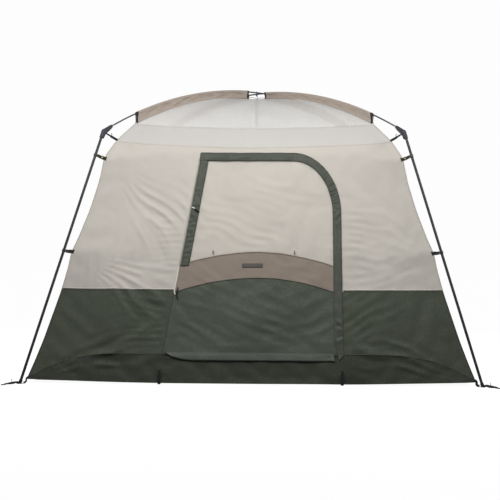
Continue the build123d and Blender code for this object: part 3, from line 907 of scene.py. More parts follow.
def declare(obj, rests_on):
    """Prints a panel's name, the flat size it is cut to and its area, from its pattern in its UVs."""
    loops = np.empty(len(obj.data.loops) * 2)
    obj.data.uv_layers["UVMap"].data.foreach_get("uv", loops)
    uv = loops.reshape(-1, 2)
    area = 0.0
    for face in obj.data.polygons:
        p = uv[face.loop_start : face.loop_start + face.loop_total]
        after = np.roll(p, -1, 0)
        area += abs(float((p[:, 0] * after[:, 1] - p[:, 1] * after[:, 0]).sum())) / 2
    flat = tuple(round(float(size), 3) for size in uv.max(0) - uv.min(0))
    whole = flat[0] * flat[1]
    area = round(min(area, whole), 4)
    print("sheet", obj.name, flat, area)
    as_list(rests_on)
    return obj


def side_panels(side, x, z):
    """Each panel of a side: name, its triangles, material, slot, CAD nodes and body."""
    tub, band = z < tub_z(x), z >= top_z(x)
    low, high = ~tub & (z < seam_z(x)), (z >= seam_z(x)) & ~band
    yield f"{side}_tub_cloth", tub, TUB_GREEN, "bathtub_fabric", ["bathtub_walls"], "tent"
    yield f"{side}_band_cloth", band, BAND_BEIGE, "band_fabric", ["top_band"], "tent"
    if side != "front":
        window = inside(x, z, window_outline())
        yield f"{side}_lower_cloth", low, SHADED_GREEN, "green_fabric", [f"{side}_lower_wall"], "tent"
        yield f"{side}_upper_cloth", high & ~window, BEIGE, "beige_fabric", [f"{side}_upper_wall"], "tent"
        yield f"{side}_window_net", high & window, WINDOW_NET, "mesh_fabric", ["window_meshes"], "tent"
        return
    door = inside(x, z, doorway())
    under, above = door & (z < band_low(x)), door & (z > band_high(x))
    low, high = low & ~door, high & ~door
    upper_nodes = ["front_header", "front_upper_left_wall", "front_upper_right_wall"]
    yield "front_lower_left_cloth", low & (x < 0), SHADED_GREEN, "green_fabric", ["front_lower_left_wall"], "tent"
    yield "front_lower_right_cloth", low & (x >= 0), SHADED_GREEN, "green_fabric", ["front_lower_right_wall"], "tent"
    yield "front_upper_cloth", high, BEIGE, "beige_fabric", upper_nodes, "tent"
    yield "door_lower_cloth", under, DOOR_GREEN, "green_fabric", ["door_lower_panel"], "door"
    yield "door_band_cloth", door & ~under & ~above, TAN, "tan_fabric", ["door_band"], "door"
    yield "door_window_net", above, WINDOW_NET, "mesh_fabric", ["door_window_mesh"], "door"


def all_panels():
    for side, cloth in cloths.items():
        held_by = {f"{side}_tub_cloth": ["floor_cloth", f"{side}_band_cloth"], f"{side}_band_cloth": ["pole_sleeves"]}
        for name, chosen, material, slot, nodes, body in side_panels(side, *cloth.middle.T):
            piece = dressed(cloth.panel(name, chosen), material, body=body, slot=slot, nodes=nodes)
            declare(piece, held_by.get(name, [f"{side}_band_cloth"]))


all_panels()

front = cloths["front"]


def on_wall(cloth, points, out):
    """Points and directions on a side's cloth, along a line in X and Z."""
    found = [cloth.at(x, z, out) for x, z in points]
    return np.array([p for p, _ in found]), np.array([n for _, n in found])


def wall_ribbon(name, cloth, line, width, out=0.0012, crown=0.0006):
    """A tape sewn along a line on a side's cloth."""
    ahead = directions(np.asarray(line, float))
    left = np.stack([-ahead[:, 1], ahead[:, 0]], -1)
    rows = []
    for (x, z), (nx, nz) in zip(line, left):
        row = []
        for t in (-0.5, -0.42, 0, 0.42, 0.5):
            lift = out + crown * (1 - (2 * t) ** 2) if abs(t) < 0.5 else 0.0
            row.append(cloth.at(x + nx * t * width, z + nz * t * width, lift)[0])
        rows.append(row)
    return ribbon(name, rows)


# ---- storm flaps on the door ----
FLAP_HALF = 0.030  # the flap reaches this far to either side of the doorway's edge
BAND_END_Z = 0.806  # where the left flap's foot is
HEM_RISE = 0.7  # millimetres that a flap's stitches stand above it
# creases across the flap below its arc: how far down, size, height in millimetres, and slant
CREASES = (
    (0.000, 0.016, 5.0, 0.07),
    (0.028, 0.012, -5.0, 0.07),
    (0.055, 0.020, 3.5, 0.05),
    (0.740, 0.014, 5.0, -0.03),
    (0.768, 0.011, -5.0, -0.02),
    (0.790, 0.014, 4.5, 0.03),
    (0.845, 0.010, -4.5, 0.02),
    (0.868, 0.016, 5.5, 0.03),
)


def run(points, count):
    """The polyline resampled to a number of evenly spaced points."""
    points = np.asarray(points, float)
    length = lengths(points)
    at = np.linspace(0, length[-1], count)
    return np.stack([np.interp(at, length, v) for v in points.T], -1)


def flap(name, outer, inner, lift, across=11):
    """A flap between two lines on the door; lift(i, t) is how far it stands out, in millimetres."""
    shares = np.linspace(0, 1, across)
    ends = enumerate(zip(outer, inner))
    rows = [[front.at(*(a + (b - a) * t), lift(i, t) / 1000)[0] for t in shares] for i, (a, b) in ends]
    return thicken(ribbon(name, rows), 0.0012, offset=0)


def flap_stitches(outer, inner, share, lift, first=0):
    """Stitches along a flap, at this share of the way across it."""
    spots = []
    for i in range(first, min(len(outer), len(inner))):
        spot = outer[i] + (inner[i] - outer[i]) * share
        spots.append(front.at(*spot, (lift(i, share) + HEM_RISE) / 1000))
    points, normals = (np.array(v) for v in zip(*spots))
    return stitches("flap_row", points, normals, pitch=0.008)


def main_flap():
    """The flap over the door's top, arc and right edge; gives the lines to be stitched."""
    top_n, arc_n, right_n, tip_n = 90, 70, 96, 20

    def path(outline, start, turn, end):
        arc = outline[2:-1][::-1]
        runs = [run([start, arc[0]], top_n), run(arc, arc_n), run([arc[-1], turn], right_n)]
        return np.concatenate([r[:-1] for r in runs] + [run([turn, *end, (0.604, 0.160)], tip_n)])

    high, low = DOOR_TOP + FLAP_HALF, DOOR_TOP - FLAP_HALF
    outer = path(doorway(FLAP_HALF), (hinge_x(high) - 0.001, high), (0.634, 0.300), [(0.637, 0.196)])
    inner = path(doorway(-FLAP_HALF), (hinge_x(low) + 0.002, low), (0.572, 0.305), [])
    down = lengths(outer)
    arc_from, arc_to = down[top_n], down[top_n + arc_n]
    slack = swell(down, 0 * down, 0.12, 71)

    def lift(i, t):
        s = down[i]
        body = 2.2 + 5.6 * math.sin(math.pi * min(1, 0.12 + t * 0.86)) ** 0.7
        gather = float(smooth((s - arc_from - 0.11) / 0.08) * smooth((arc_to + 0.03 - s) / 0.08))
        pleats = 7.4 * gather * math.sin(2 * math.pi * (s / 0.0185 + 0.3 * slack[i])) * smooth((t - 0.05) / 0.25)
        pleats += 1.6 * gather * math.sin(2 * math.pi * (s / 0.047 + 0.5 * t))
        long = 1.1 * (1 - gather) * slack[i] * math.sin(math.pi * t) + 0.9 * math.sin(2 * math.pi * (s / 0.17 + t))
        creases = 0.0
        for below, size, height, slant in CREASES:
            near = (s - arc_to - below - slant * (t - 0.5)) / size
            creases += height * math.exp(-(near**2)) * math.sin(math.pi * min(1, 0.1 + t))
        return max(1.6, body + pleats + long + creases)

    nodes = ["storm_flap_top", "storm_flap_right"]
    piece = flap("door_storm_flap", outer, inner, lift)
    declare(dressed(piece, SHADED_FLAP_GREEN, body="door", slot="flap_fabric", nodes=nodes), ["door_window_net"])
    sewn = outer[: -tip_n - 4]
    return [(sewn, inner, share, lift) for share in (0.05, 0.90)]


def left_flap():
    z = np.linspace(BAND_END_Z, DOOR_TOP - FLAP_HALF + 0.004, 110)
    hinge = np.stack([hinge_x(z), z], -1)
    shares = np.linspace(0, 1, 9)
    broad = np.stack([swell(z + 0.02 * t, z * 0 + 0.05 * t, 0.045, 73) for t in shares])
    fine = np.stack([swell(z - 0.03 * t, z * 0 + 0.05 * t, 0.024, 74) for t in shares])

    def lift(i, t):
        body = 1.6 + 4.0 * math.sin(math.pi * min(1, 0.1 + 0.85 * t)) ** 0.7
        k = round(t * 8)
        return max(1.2, body + (2.6 * broad[k, i] + 1.7 * fine[k, i]) * math.sin(math.pi * (0.15 + 0.8 * t)))

    outer, inner = hinge + [0.007, 0], hinge + [0.066, 0]
    piece = flap("door_left_flap", outer, inner, lift, across=9)
    piece = dressed(piece, SHADED_FLAP_GREEN, body="door", slot="flap_fabric", nodes=["storm_flap_left"])
    declare(piece, ["door_window_net"])
    return [(outer, inner, share, lift) for share in (0.08, 0.92)]


def bottom_flap():
    n = 150
    upper = run([(-0.592, 0.213), (0.567, 0.211)], n)
    lower = run([(-0.585, 0.209), (-0.55, 0.186), (-0.47, 0.166), (-0.40, 0.160), (0.575, 0.158)], n)
    broad, fine = (swell(upper[:, 0], 0 * upper[:, 0], size, seed) for size, seed in ((0.3, 75), (0.07, 76)))

    def lift(i, t):
        return 1.6 + (8.5 + 1.8 * broad[i]) * t**0.7 + 0.7 * fine[i] * t

    piece = flap("door_bottom_flap", upper, lower, lift, across=8)
    piece = dressed(piece, SILL_GREEN, body="door", slot="flap_fabric", nodes=["storm_flap_bottom"])
    declare(piece, ["door_lower_cloth"])
    return [(upper, lower, share, lift, 4) for share in (0.10, 0.88)]


sewn_lines = main_flap() + left_flap() + bottom_flap()
assembled("flap_stitching", [flap_stitches(*line) for line in sewn_lines], BLACK_THREAD, body="door")


# ---- zips and tapes round the doorway ----
def zip_line(grow):
    """The zipped part of the doorway's outline: sill, right edge, arc and top."""
    outline = doorway(grow)
    for k, past in ((0, 0.012), (-1, 0.016)):
        outline[k] = (hinge_x(outline[k][1]) + past, outline[k][1])
    return run(outline, 330)


def tubes(name, lines, radius, material, **where):
    made = [swept(f"{name}_{k}", line, round_section(radius), up=(0.03, -1, 0.05)) for k, line in enumerate(lines)]
    return assembled(name, made, material, **where)


def zips():
    for name, grow, body in (("door_zip", -0.0034, "door"), ("doorway_zip", 0.0034, "tent")):
        line = zip_line(grow)
        coil, _ = on_wall(front, line, 0.0016)
        tubes(f"{name}_coil", [coil], 0.0016, BLACK_PLASTIC, body=body, slot="black_plastic")
        sign = 1 if grow > 0 else -1
        tape = wall_ribbon(f"{name}_tape", front, zip_line(grow + sign * 0.0075), 0.014, out=0.0009, crown=0.0002)
        dressed(tape, ZIP_TAPE, body=body, slot="flap_fabric")
        row, normals = on_wall(front, zip_line(grow + sign * 0.012), 0.0013)
        dressed(stitches(f"{name}_stitching", row, normals), BLACK_THREAD, body=body)


zips()


# ---- seams, piping and stitching ----
def across_line(height, shift, low=-math.inf, high=math.inf):
    """Points on a seam that crosses a side, moved up or down."""
    x = float(edge_x(height(np.array(1.2)))) - 0.003
    low, high = max(low, -x), min(high, x)
    xs = np.linspace(low, high, max(8, int((high - low) / 0.018)))
    return np.stack([xs, height(xs) + shift], -1)


# tapes along the seams: name, height, width, materials of the tape and its thread, how far above the seam
SEAMS = (
    ("green_seam", seam_z, 0.010, SHADED_GREEN, PALE_THREAD, 0.004),
    ("pale_seam", seam_z, 0.006, EDGE_TAPE, PALE_THREAD, 0.0125),
    ("tub_seam", tub_z, 0.008, SHADED_GREEN, BLACK_THREAD, 0.0),
    ("band_seam", top_z, 0.009, BEIGE, PALE_THREAD, 0.0),
    ("eave_seam", lambda x: eave_z(x) - 0.006, 0.011, BAND_BEIGE, PALE_THREAD, 0.0),
)


def seams():
    for side, cloth in cloths.items():
        threads = {}
        for name, height, width, material, thread, shift in SEAMS:
            reach = [(-math.inf, math.inf)]
            if side == "front" and height is seam_z:
                reach = [(-math.inf, hinge_x(SEAM_Z) - 0.004), (DOOR_RIGHT[0][0] + 0.032, math.inf)]
            if name == "eave_seam":
                reach = [(-EAVE_HALF + 0.01, EAVE_HALF - 0.01)]
            tapes = []
            for k, ends in enumerate(reach):
                line = across_line(height, shift, *ends)
                tapes.append(wall_ribbon(f"{side}_{name}_{k}", cloth, line, width))
                for edge in (-0.32, 0.32):
                    row = stitches("row", *on_wall(cloth, line + [0, edge * width], 0.0016), pitch=0.009)
                    threads.setdefault(thread, []).append(row)
            assembled(f"{side}_{name}", tapes, material)
        for thread, rows in threads.items():
            assembled(f"{side}_{thread.name}", rows, thread)
        if side != "front":
            window_details(side, cloth)
    corner_piping()


def window_details(side, cloth):
    """The window's binding and its stitching."""

    def round_window(grow):
        return run(closed(window_outline(grow)), 260)

    binding = wall_ribbon(f"{side}_window_binding", cloth, round_window(0.006), 0.022, out=0.0016, crown=0.0012)
    dressed(binding, TAN, slot="tan_fabric")
    rows = [stitches("row", *on_wall(cloth, round_window(g), 0.0030), pitch=0.009) for g in (-0.001, 0.013)]
    assembled(f"{side}_window_stitching", rows, PALE_THREAD)


def corner_line(corner, low, high, out=0.0):
    """The corner seam between two heights."""
    z = np.linspace(low, high, max(6, int((high - low) / 0.02)))
    s = (edge_x(z) + out) * ROOT2
    a = math.radians(CORNERS[corner])
    return np.stack([s * math.cos(a), s * math.sin(a), z], -1)


def corner_piping():
    parts = (
        ("corner_piping_tub", 0.036, 0.055, PIPING_DARK, "bathtub_fabric"),
        ("corner_piping_green", 0.055, SEAM_Z, PIPING_DARK, "green_fabric"),
        ("corner_piping_beige", SEAM_Z, EAVE_Z, PIPING_PALE, "beige_fabric"),
    )
    for name, low, high, material, slot in parts:
        tubes(name, [corner_line(c, low, high, 0.001) for c in CORNERS], 0.0032, material, slot=slot)


seams()


def front_trim():
    """The tan band's piping, the hinge's seam and piping, the window zip's pull, and the seams under the sill."""
    rows = []
    for k, line in enumerate((band_low, band_high)):
        xs = np.linspace(front.door_left(line) + 0.006, front.door_right(line) - 0.006, 90)
        points, _ = on_wall(front, np.stack([xs, line(xs)], -1), 0.0012)
        tubes(f"band_piping_{k}", [points], 0.0022, TAN if k else PIPING_DARK, body="door", slot="tan_fabric")
        for shift in (0.007, -0.007):
            rows.append(stitches("row", *on_wall(front, np.stack([xs, line(xs) + shift], -1), 0.0004), pitch=0.009))
    assembled("band_stitching", rows, TAN_THREAD, body="door")

    z = np.linspace(0.196, 0.616, 60)
    hinge = np.stack([hinge_x(z) - 0.006, z], -1)
    dressed(wall_ribbon("hinge_seam", front, hinge, 0.008), SHADED_GREEN, slot="green_fabric")
    row = stitches("hinge_stitching", *on_wall(front, hinge, 0.0022), pitch=0.010, length=0.006, wide=0.0018)
    dressed(row, BLACK_PLASTIC)
    z = np.linspace(0.800, 1.575, 90)
    points, _ = on_wall(front, np.stack([hinge_x(z) - 0.004, z], -1), 0.002)
    tubes("hinge_piping", [points], 0.003, PIPING_PALE, slot="beige_fabric")
    z = np.linspace(0.612, 0.806, 24)
    edge = np.stack([hinge_x(z) - 0.004, z], -1)
    edge[:3] += [(0.010, -0.004), (0.004, -0.001), (0, 0)]
    tape = wall_ribbon("band_edge_tape", front, edge, 0.009, out=0.003, crown=0.001)
    dressed(tape, EDGE_TAPE, slot="beige_fabric")
    pull = ((-0.5150, 0.642, 0.010), (-0.5185, 0.628, 0.0125), (-0.5205, 0.612, 0.011))
    pull += ((-0.5180, 0.594, 0.010), (-0.5150, 0.578, 0.009))
    points = spline([front.at(x, z, out)[0] for x, z, out in pull], 6)
    cord = swept("window_zip_pull", points, strap_section(0.0115, 0.004), up=tuple(front.at(-0.515, 0.61)[1]))
    dressed(cord, BLACK_WEB, body="window_zip_slider", slot="black_webbing")
    for k, x in enumerate((-0.20, 0.19)):
        z = np.linspace(0.030, 0.150, 12)
        tape = wall_ribbon(f"sill_seam_{k}", front, np.stack([x + 0 * z, z], -1), 0.008)
        dressed(tape, TUB_GREEN, slot="bathtub_fabric")


front_trim()


# ---- the roof ----
def roof():
    for side in SIDES:
        u, v = np.linspace(-1, 1, 41), np.linspace(0, 0.995, 26)
        rows = []
        for across in v:
            t = EAVE_HALF * (1 - across)
            near = (1 - across) ** 3
            x = u * t
            start_z = eave_z(u * EAVE_HALF)
            ridge = roof_height(t * ROOT2)
            drop = (EAVE_Z - start_z) * near
            sag = 0.020 * (1 - u**2) * (t / EAVE_HALF) * (1 - near)
            out = (profile(start_z) - EAVE_HALF) * near
            ripple = 0.0022 * swell(x, np.full_like(x, across), 0.35, 500 + SIDES[side]) * (1 - u**2)
            rows.append(np.stack([x, -(t + out), ridge - drop - sag + ripple], -1))
        rows = np.array(rows)[:, ::-1]
        gore = ribbon(f"{side}_roof_net", turned(rows.reshape(-1, 3), side).reshape(rows.shape))
        set_uv(gore, np.stack([rows[..., 0].ravel(), np.repeat(v * EAVE_HALF * 1.06, len(u))], -1))
        dressed(gore, ROOF_NET, slot="mesh_fabric", nodes=["roof_mesh"])
        declare(gore, ["pole_sleeve_front_left"])


roof()

POLE_APEX = {"front_right": 2.154, "front_left": 2.166, "rear_left": 2.154, "rear_right": 2.166}
TIP_S, TIP_Z = 1.447, 1.807
SLEEVE_START, SLEEVE_END = 0.095, 1.223


def on_diagonal(corner, s, lateral, z):
    """A point at distance S along a corner's diagonal."""
    a = math.radians(CORNERS[corner])
    s, lateral, z = np.broadcast_arrays(s, lateral, z)
    return np.stack([s * math.cos(a) - lateral * math.sin(a), s * math.sin(a) + lateral * math.cos(a), z], -1)


def sleeve_rows(corner, s, grow=0.0, seed=0):
    """Cross-sections of a sleeve: a pocket round the pole, on a folded web that is sewn to the ridge."""
    radius = 0.0102 + grow
    pocket = np.radians(np.linspace(-42, 222, 15))
    rows = []
    for v in np.atleast_1d(s):
        top = float(arc_height(v, TIP_S, TIP_Z, POLE_APEX[corner]))
        ridge = float(roof_height(v)) + 0.0015
        depth = top - ridge
        down = np.linspace(0.16, 1, 7)
        puff = 0.0022 + grow + 0.0066 * (1 - smooth(down / 0.62))
        ends = smooth((v - SLEEVE_START) / 0.05) * smooth((SLEEVE_END - v) / 0.05)
        bulge = np.sin(math.pi * down)
        wave = 0.0055 * swell(v + 0.6 * down * depth, 0 * down, 0.16, seed) * bulge * ends
        uneven = 0.4 + 0.8 * swell(v + 0 * down, 0 * down, 0.14, seed + 10)
        tuck = 0.0060 * uneven * crest(2 * math.pi * (v / 0.150 - 1.3 * down)) * bulge**0.8 * ends
        right, left = (
            [(half * p + w + k, top - d * depth) for p, d, w, k in zip(puff, down, wave, tuck)] for half in (1, -1)
        )
        right[-1], left[-1] = (0.009 + grow, ridge), (-0.009 - grow, ridge)
        loop = [(radius * math.cos(a), top + radius * math.sin(a)) for a in pocket]
        section = right[::-1] + loop + left
        rows.append(on_diagonal(corner, v, *np.array(section).T))
    return np.array(rows)


def sleeves():
    ends = []
    for k, corner in enumerate(CORNERS):
        s = np.linspace(SLEEVE_START, SLEEVE_END, 180)
        piece = ribbon(f"pole_sleeve_{corner}", sleeve_rows(corner, s, seed=81 + k))
        dressed(piece, SLEEVE_TAN, slot="tan_fabric", nodes=["pole_sleeves"])
        for low, high in ((SLEEVE_START - 0.001, SLEEVE_START + 0.015), (SLEEVE_END - 0.017, SLEEVE_END + 0.001)):
            rows = sleeve_rows(corner, np.linspace(low, high, 4), grow=0.0009, seed=81 + k)
            ends.append(ribbon(f"end_{corner}", rows))
        edge = np.linspace(SLEEVE_START, SLEEVE_END, 120)
        rows = []
        for side in (-1, 1):
            points = on_diagonal(corner, edge, side * 0.0072, roof_height(edge) + 0.0036)
            rows.append(stitches("sleeve_row", points, np.broadcast_to([0, 0, 1.0], points.shape), pitch=0.009))
        assembled(f"sleeve_stitching_{corner}", rows, PALE_THREAD)
    assembled("sleeve_bindings", ends, BLACK_WEB, slot="black_webbing")


sleeves()


# ---- straps, hooks and loops ----
FOOT_S, ELBOW_S, ELBOW_Z = 1.573 * ROOT2, 1.089 * ROOT2, 1.719
EAR_S, EAR_Z = 1.494, 1.752
HOOK_S, HOOK_Z = EAR_S - 0.046, EAR_Z - 0.021
CLIP_AND_WALL_Z = ((1.592, 1.570), (0.910, 0.903))  # each clip on a leg, and its strap's end on the wall


def leg_s(z):
    return FOOT_S + (ELBOW_S - FOOT_S) * z / ELBOW_Z


def diagonal_points(corner, pairs):
    return on_diagonal(corner, *np.array(pairs, float).T)


def lateral(corner):
    a = math.radians(CORNERS[corner])
    return (-math.sin(a), math.cos(a), 0)


def flat_along(points, across):
    """For a strap through points, the direction away from its face, when its width lies across."""
    return np.cross(np.broadcast_to(across, points.shape), np.gradient(points, axis=0))


def strap_along(name, corner, pairs, width, thick, turn=(0, 0)):
    """A strap through (S, Z) points of a corner's diagonal plane; at turn 0 its width is in it, at 90 across it."""
    points = spline(on_diagonal(corner, *np.insert(np.array(pairs, float).T, 1, 0.0, axis=0)), 6)
    across = np.broadcast_to(lateral(corner), points.shape)
    flat = np.cross(across, directions(points))
    degrees = np.interp(np.linspace(0, 1, len(points)), np.linspace(0, 1, len(turn)), turn)
    a = np.radians(degrees)[:, None]
    return swept(name, points, strap_section(width, thick), up=np.cos(a) * across + np.sin(a) * flat)


def ring(name, centre, normal, radius, wire):
    """A ring of round wire."""
    normal = Vector(normal).normalized()
    a = normal.orthogonal().normalized()
    b = normal.cross(a)
    angles = np.linspace(0, 2 * math.pi, 28, endpoint=False)
    spokes = [math.cos(t) * np.array(a) + math.sin(t) * np.array(b) for t in angles]
    points = np.array(centre, float) + radius * np.array(spokes)
    return swept(name, points, round_section(wire), up=tuple(normal), loop=True)


def rivet(name, centre, normal, radius, height):
    """A domed rivet head."""
    normal = Vector(normal)
    steps = np.linspace(0, 1, 6)
    sections = np.array([round_section(radius * math.cos(v * math.pi / 2 * 0.98), 14) for v in steps])
    rise = height * np.sin(steps * math.pi / 2) + steps * 1e-5
    points = np.array(centre) + np.outer(rise, np.array(normal.normalized()))
    return swept(name, points, sections, up=normal.orthogonal())


def plate(name, corner, outline, half):
    """A flat plate in a corner's diagonal plane, from its outline in S and Z."""
    n = len(outline)
    points = [p for side in (-half, half) for p in diagonal_points(corner, [(s, side, z) for s, z in outline])]
    faces = [tuple(range(n))[::-1], tuple(range(n, 2 * n))]
    faces += [(k, (k + 1) % n, n + (k + 1) % n, n + k) for k in range(n)]
    return mesh_object(name, points, faces, smooth_shaded=False)


def clip_parts(c, made):
    """The straps from a leg's clips to the wall, with their rings, beads and patches."""
    for n, (clip_z, wall_z) in enumerate(CLIP_AND_WALL_Z):
        near = np.array((leg_s(clip_z) - 0.023, clip_z - 0.004))
        far = np.array((float(edge_x(wall_z)) * ROOT2 - 0.004, wall_z))
        middle = (near + far) / 2 - (0, 0.002)
        inner = near - 0.45 * (near - far)
        made["clip_webbing"] += [
            strap_along(f"clip_strap_{c}_{n}", c, [near, middle, far], 0.023, 0.0036),
            strap_along(f"clip_fold_{c}_{n}", c, [inner, (inner + far) / 2 - (0, 0.001), far], 0.026, 0.0075),
        ]
        for sign in (-1, 1) if n == 0 else ():
            spot = on_diagonal(c, middle[0] - 0.002, sign * 0.0034, middle[1])
            made["bead_domes"].append(rivet(f"bead_{c}_{sign}", spot, sign * np.array(lateral(c)), 0.0068, 0.0034))
        centre = on_diagonal(c, leg_s(clip_z) - 0.0215, 0.0, clip_z - 0.004)
        made["clip_rings"].append(ring(f"clip_ring_{c}_{n}", centre, lateral(c), 0.0100, 0.0022))
        inward = np.array([0.0, 0.006, 0.012])
        for side in (-1, 1):
            patch = []
            for z in (wall_z - 0.013, wall_z, wall_z + 0.013):
                patch.append(on_diagonal(c, float(edge_x(z)) * ROOT2 + 0.002 - 0.7 * inward, side * inward, z))
            made["clip_webbing"].append(ribbon(f"patch_{c}_{n}_{side}", patch))


def ear_parts(c, made):
    """The strap and the wire loop from an elbow's ear to the eave, with a hook on the pole."""
    wall = (SHOULDER[0] * ROOT2 - 0.002, SHOULDER[1] + 0.001)
    eave = [(HOOK_S + 0.006, HOOK_Z + 0.003), ((HOOK_S + wall[0]) / 2, (HOOK_Z + wall[1]) / 2), wall]
    ear = [(EAR_S - 0.013, EAR_Z - 0.006), ((EAR_S + HOOK_S) / 2 - 0.004, (EAR_Z + HOOK_Z) / 2 - 0.001)]
    ear.append((HOOK_S - 0.002, HOOK_Z))
    start, end = on_diagonal(c, EAR_S - 0.002, 0.0, EAR_Z - 0.003), on_diagonal(c, HOOK_S, 0.0, HOOK_Z)
    loop = []
    for t in np.linspace(0, 2 * math.pi, 36, endpoint=False):
        along = 0.5 - 0.5 * math.cos(t)
        loop.append(start + (end - start) * along + 0.0034 * math.sin(t) * np.array(lateral(c)))
    made["eave_straps"] += [
        strap_along(f"eave_strap_{c}", c, eave, 0.019, 0.0060),
        strap_along(f"ear_strap_{c}", c, ear, 0.0135, 0.0050),
        swept(f"ear_loop_{c}", loop, round_section(0.0030), loop=True),
    ]
    bends = ((0.010, 0.004), (0.002, 0.007), (-0.004, 0.013), (-0.003, 0.021), (0.003, 0.024))
    hook = spline(diagonal_points(c, [(HOOK_S + s, 0.0, HOOK_Z + z) for s, z in bends]), 5)
    made["eave_hooks"].append(swept(f"hook_{c}", hook, round_section(0.0022), up=lateral(c)))


def foot_parts(c, made):
    """The strap from the floor's corner to the ring at the leg's foot, and the tail beyond it."""
    corner_s = float(edge_x(0.040)) * ROOT2
    path = [(corner_s - 0.012, 0.046), (corner_s + 0.012, 0.034), (FOOT_S - 0.052, 0.014), (FOOT_S - 0.032, 0.0045)]
    made["floor_corner_straps"].append(strap_along(f"floor_strap_{c}", c, path, 0.018, 0.0040, turn=(20, 20)))
    tail = [(FOOT_S + 0.012, 0.008), (FOOT_S + 0.030, 0.0125), (FOOT_S + 0.055, 0.0095), (FOOT_S + 0.080, 0.0085)]
    tail += [(2.312, 0.0070), (2.330, 0.0060), (2.3465, 0.0045)]
    fold = [(2.296, 0.0095), (2.318, 0.0085), (2.3440, 0.0055)]
    made["corner_tail_straps"] += [
        strap_along(f"tail_{c}", c, tail, 0.018, 0.0050, turn=(10, 35, 15, 30, 60, 85, 90)),
        strap_along(f"tail_fold_{c}", c, fold, 0.020, 0.0080, turn=(45, 75, 90)),
    ]


def straps():
    finish = {
        "clip_webbing": (BLACK_WEB, "black_webbing", ["clip_straps"]),
        "clip_rings": (GREY_TOGGLE, "grey_plastic", []),
        "bead_domes": (YELLOW, "yellow_plastic", ["strap_beads"]),
        "eave_straps": (BLACK_WEB, "black_webbing", ["elbow_straps"]),
        "eave_hooks": (BLACK_PLASTIC, "black_plastic", []),
        "floor_corner_straps": (BLACK_WEB, "black_webbing", ["corner_straps"]),
        "corner_tail_straps": (BLACK_WEB, "black_webbing", ["corner_tails"]),
    }
    made = {name: [] for name in finish}
    for c in CORNERS:
        clip_parts(c, made)
        ear_parts(c, made)
        foot_parts(c, made)
    for name, (material, slot, nodes) in finish.items():
        assembled(name, made[name], material, slot=slot, nodes=nodes)


straps()


def stake_loops():
    made = []
    y = -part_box("stake_loops")[1].x
    outline = [(-0.006, 0.100), (-0.0065, 0.060), (-0.005, 0.022), (-0.0045, 0.006), (0.0, 0.0012)]
    outline += [(0.0045, 0.006), (0.005, 0.022), (0.0065, 0.060), (0.004, 0.094)]
    for side in SIDES:
        for x in (-0.625, 0.625):
            points = [(x, y + 0.007 + 0.2 * max(0, z - 0.03) + o, z) for o, z in outline]
            points = turned(spline(points, 5), side)
            up = flat_along(points, turned(np.array([[1.0, 0, 0]]), side)[0])
            made.append(swept(f"loop_{side}_{x}", points, strap_section(0.021, 0.0030), up=up))
    assembled("stake_loop_webbing", made, BLACK_WEB, slot="black_webbing", nodes=["stake_loops"])


def lantern_loop():
    low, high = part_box("lantern_loop")
    half = (high.y - low.y) / 2 - 0.002
    points = [(0, half * math.sin(t), low.z + half + 0.001 - half * math.cos(t)) for t in np.linspace(-1.4, 1.4, 9)]
    points = [(0, -0.002, high.z), (0, -half * 0.5, low.z + 0.10), *points]
    points = spline([*points, (0, half * 0.5, low.z + 0.10), (0, 0.002, high.z)], 5)
    loop = swept("lantern_webbing", points, strap_section(0.026, 0.002), up=flat_along(points, [1.0, 0, 0]))
    dressed(loop, GREY_WEB, slot="black_webbing", nodes=["lantern_loop"])


def apex_tie():
    crossing = (POLE_APEX["front_left"] + POLE_APEX["front_right"]) / 2
    z = ROOF_APEX
    made = [
        ring("tie_loop", (0, 0, crossing), (1, 0, 0), 0.0165, 0.002),
        ring("tie_knot", (0, 0, crossing - 0.017), (0, 1, 0), 0.0045, 0.0024),
    ]
    for points, radius, up in (
        ([(0, 0, z + 0.001), (0.004, 0.002, z + 0.012), (0, 0, crossing - 0.015)], 0.002, (0, 1, 0)),
        ([(0, 0, z + 0.006), (0.030, -0.030, z + 0.010), (0.067, -0.067, z + 0.004)], 0.0018, (0, 0, 1)),
        ([(0, 0, z + 0.006), (-0.030, -0.030, z + 0.012), (-0.067, -0.067, z + 0.004)], 0.0018, (0, 0, 1)),
    ):
        made.append(swept("tie_cord", spline(points, 6), round_section(radius), up=up))
    assembled("apex_cord", made, BLACK_WEB, slot="black_webbing", nodes=["apex_tie"])


stake_loops()
lantern_loop()
apex_tie()


# ---- covers inside the windows ----
def grid_sheet(outline, step):
    """A triangulated sheet inside an outline, as points in X and Z and faces."""
    line = sampled(closed(outline), step)
    return triangulated([line], list(outline), step, np.min(line, 0), np.max(line, 0))


def window_cover(cloth, outline, hinge_z, body, seed):
    """A cloth cover that hangs just inside a net window, sewn along its foot."""
    flat, faces = grid_sheet(outline, STEP * 1.1)
    x, z = flat.T
    depth = 0.0055 + 0.0016 * (1 + swell(x, z, 0.5, seed)) + 0.0006 * (1 + swell(x, z, 0.12, seed + 1))
    depth = depth * smooth((z - z.min()) / 0.05 + 0.35)
    co = np.array([cloth.at(a, b, -d)[0] for a, b, d in zip(x, z, depth)])
    piece = mesh_object(f"{body}_cloth", co, faces.tolist())
    set_uv(piece, flat)
    piece.data.materials.append(COVER)
    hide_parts(body)
    a, b = cloth.at(0.0, hinge_z - 0.004)[0], cloth.at(0.0, hinge_z + 0.030)[0]
    tuple(a)
    tuple(b)
    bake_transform(piece)
    declare(piece, [f"{cloth.side}_upper_cloth"])


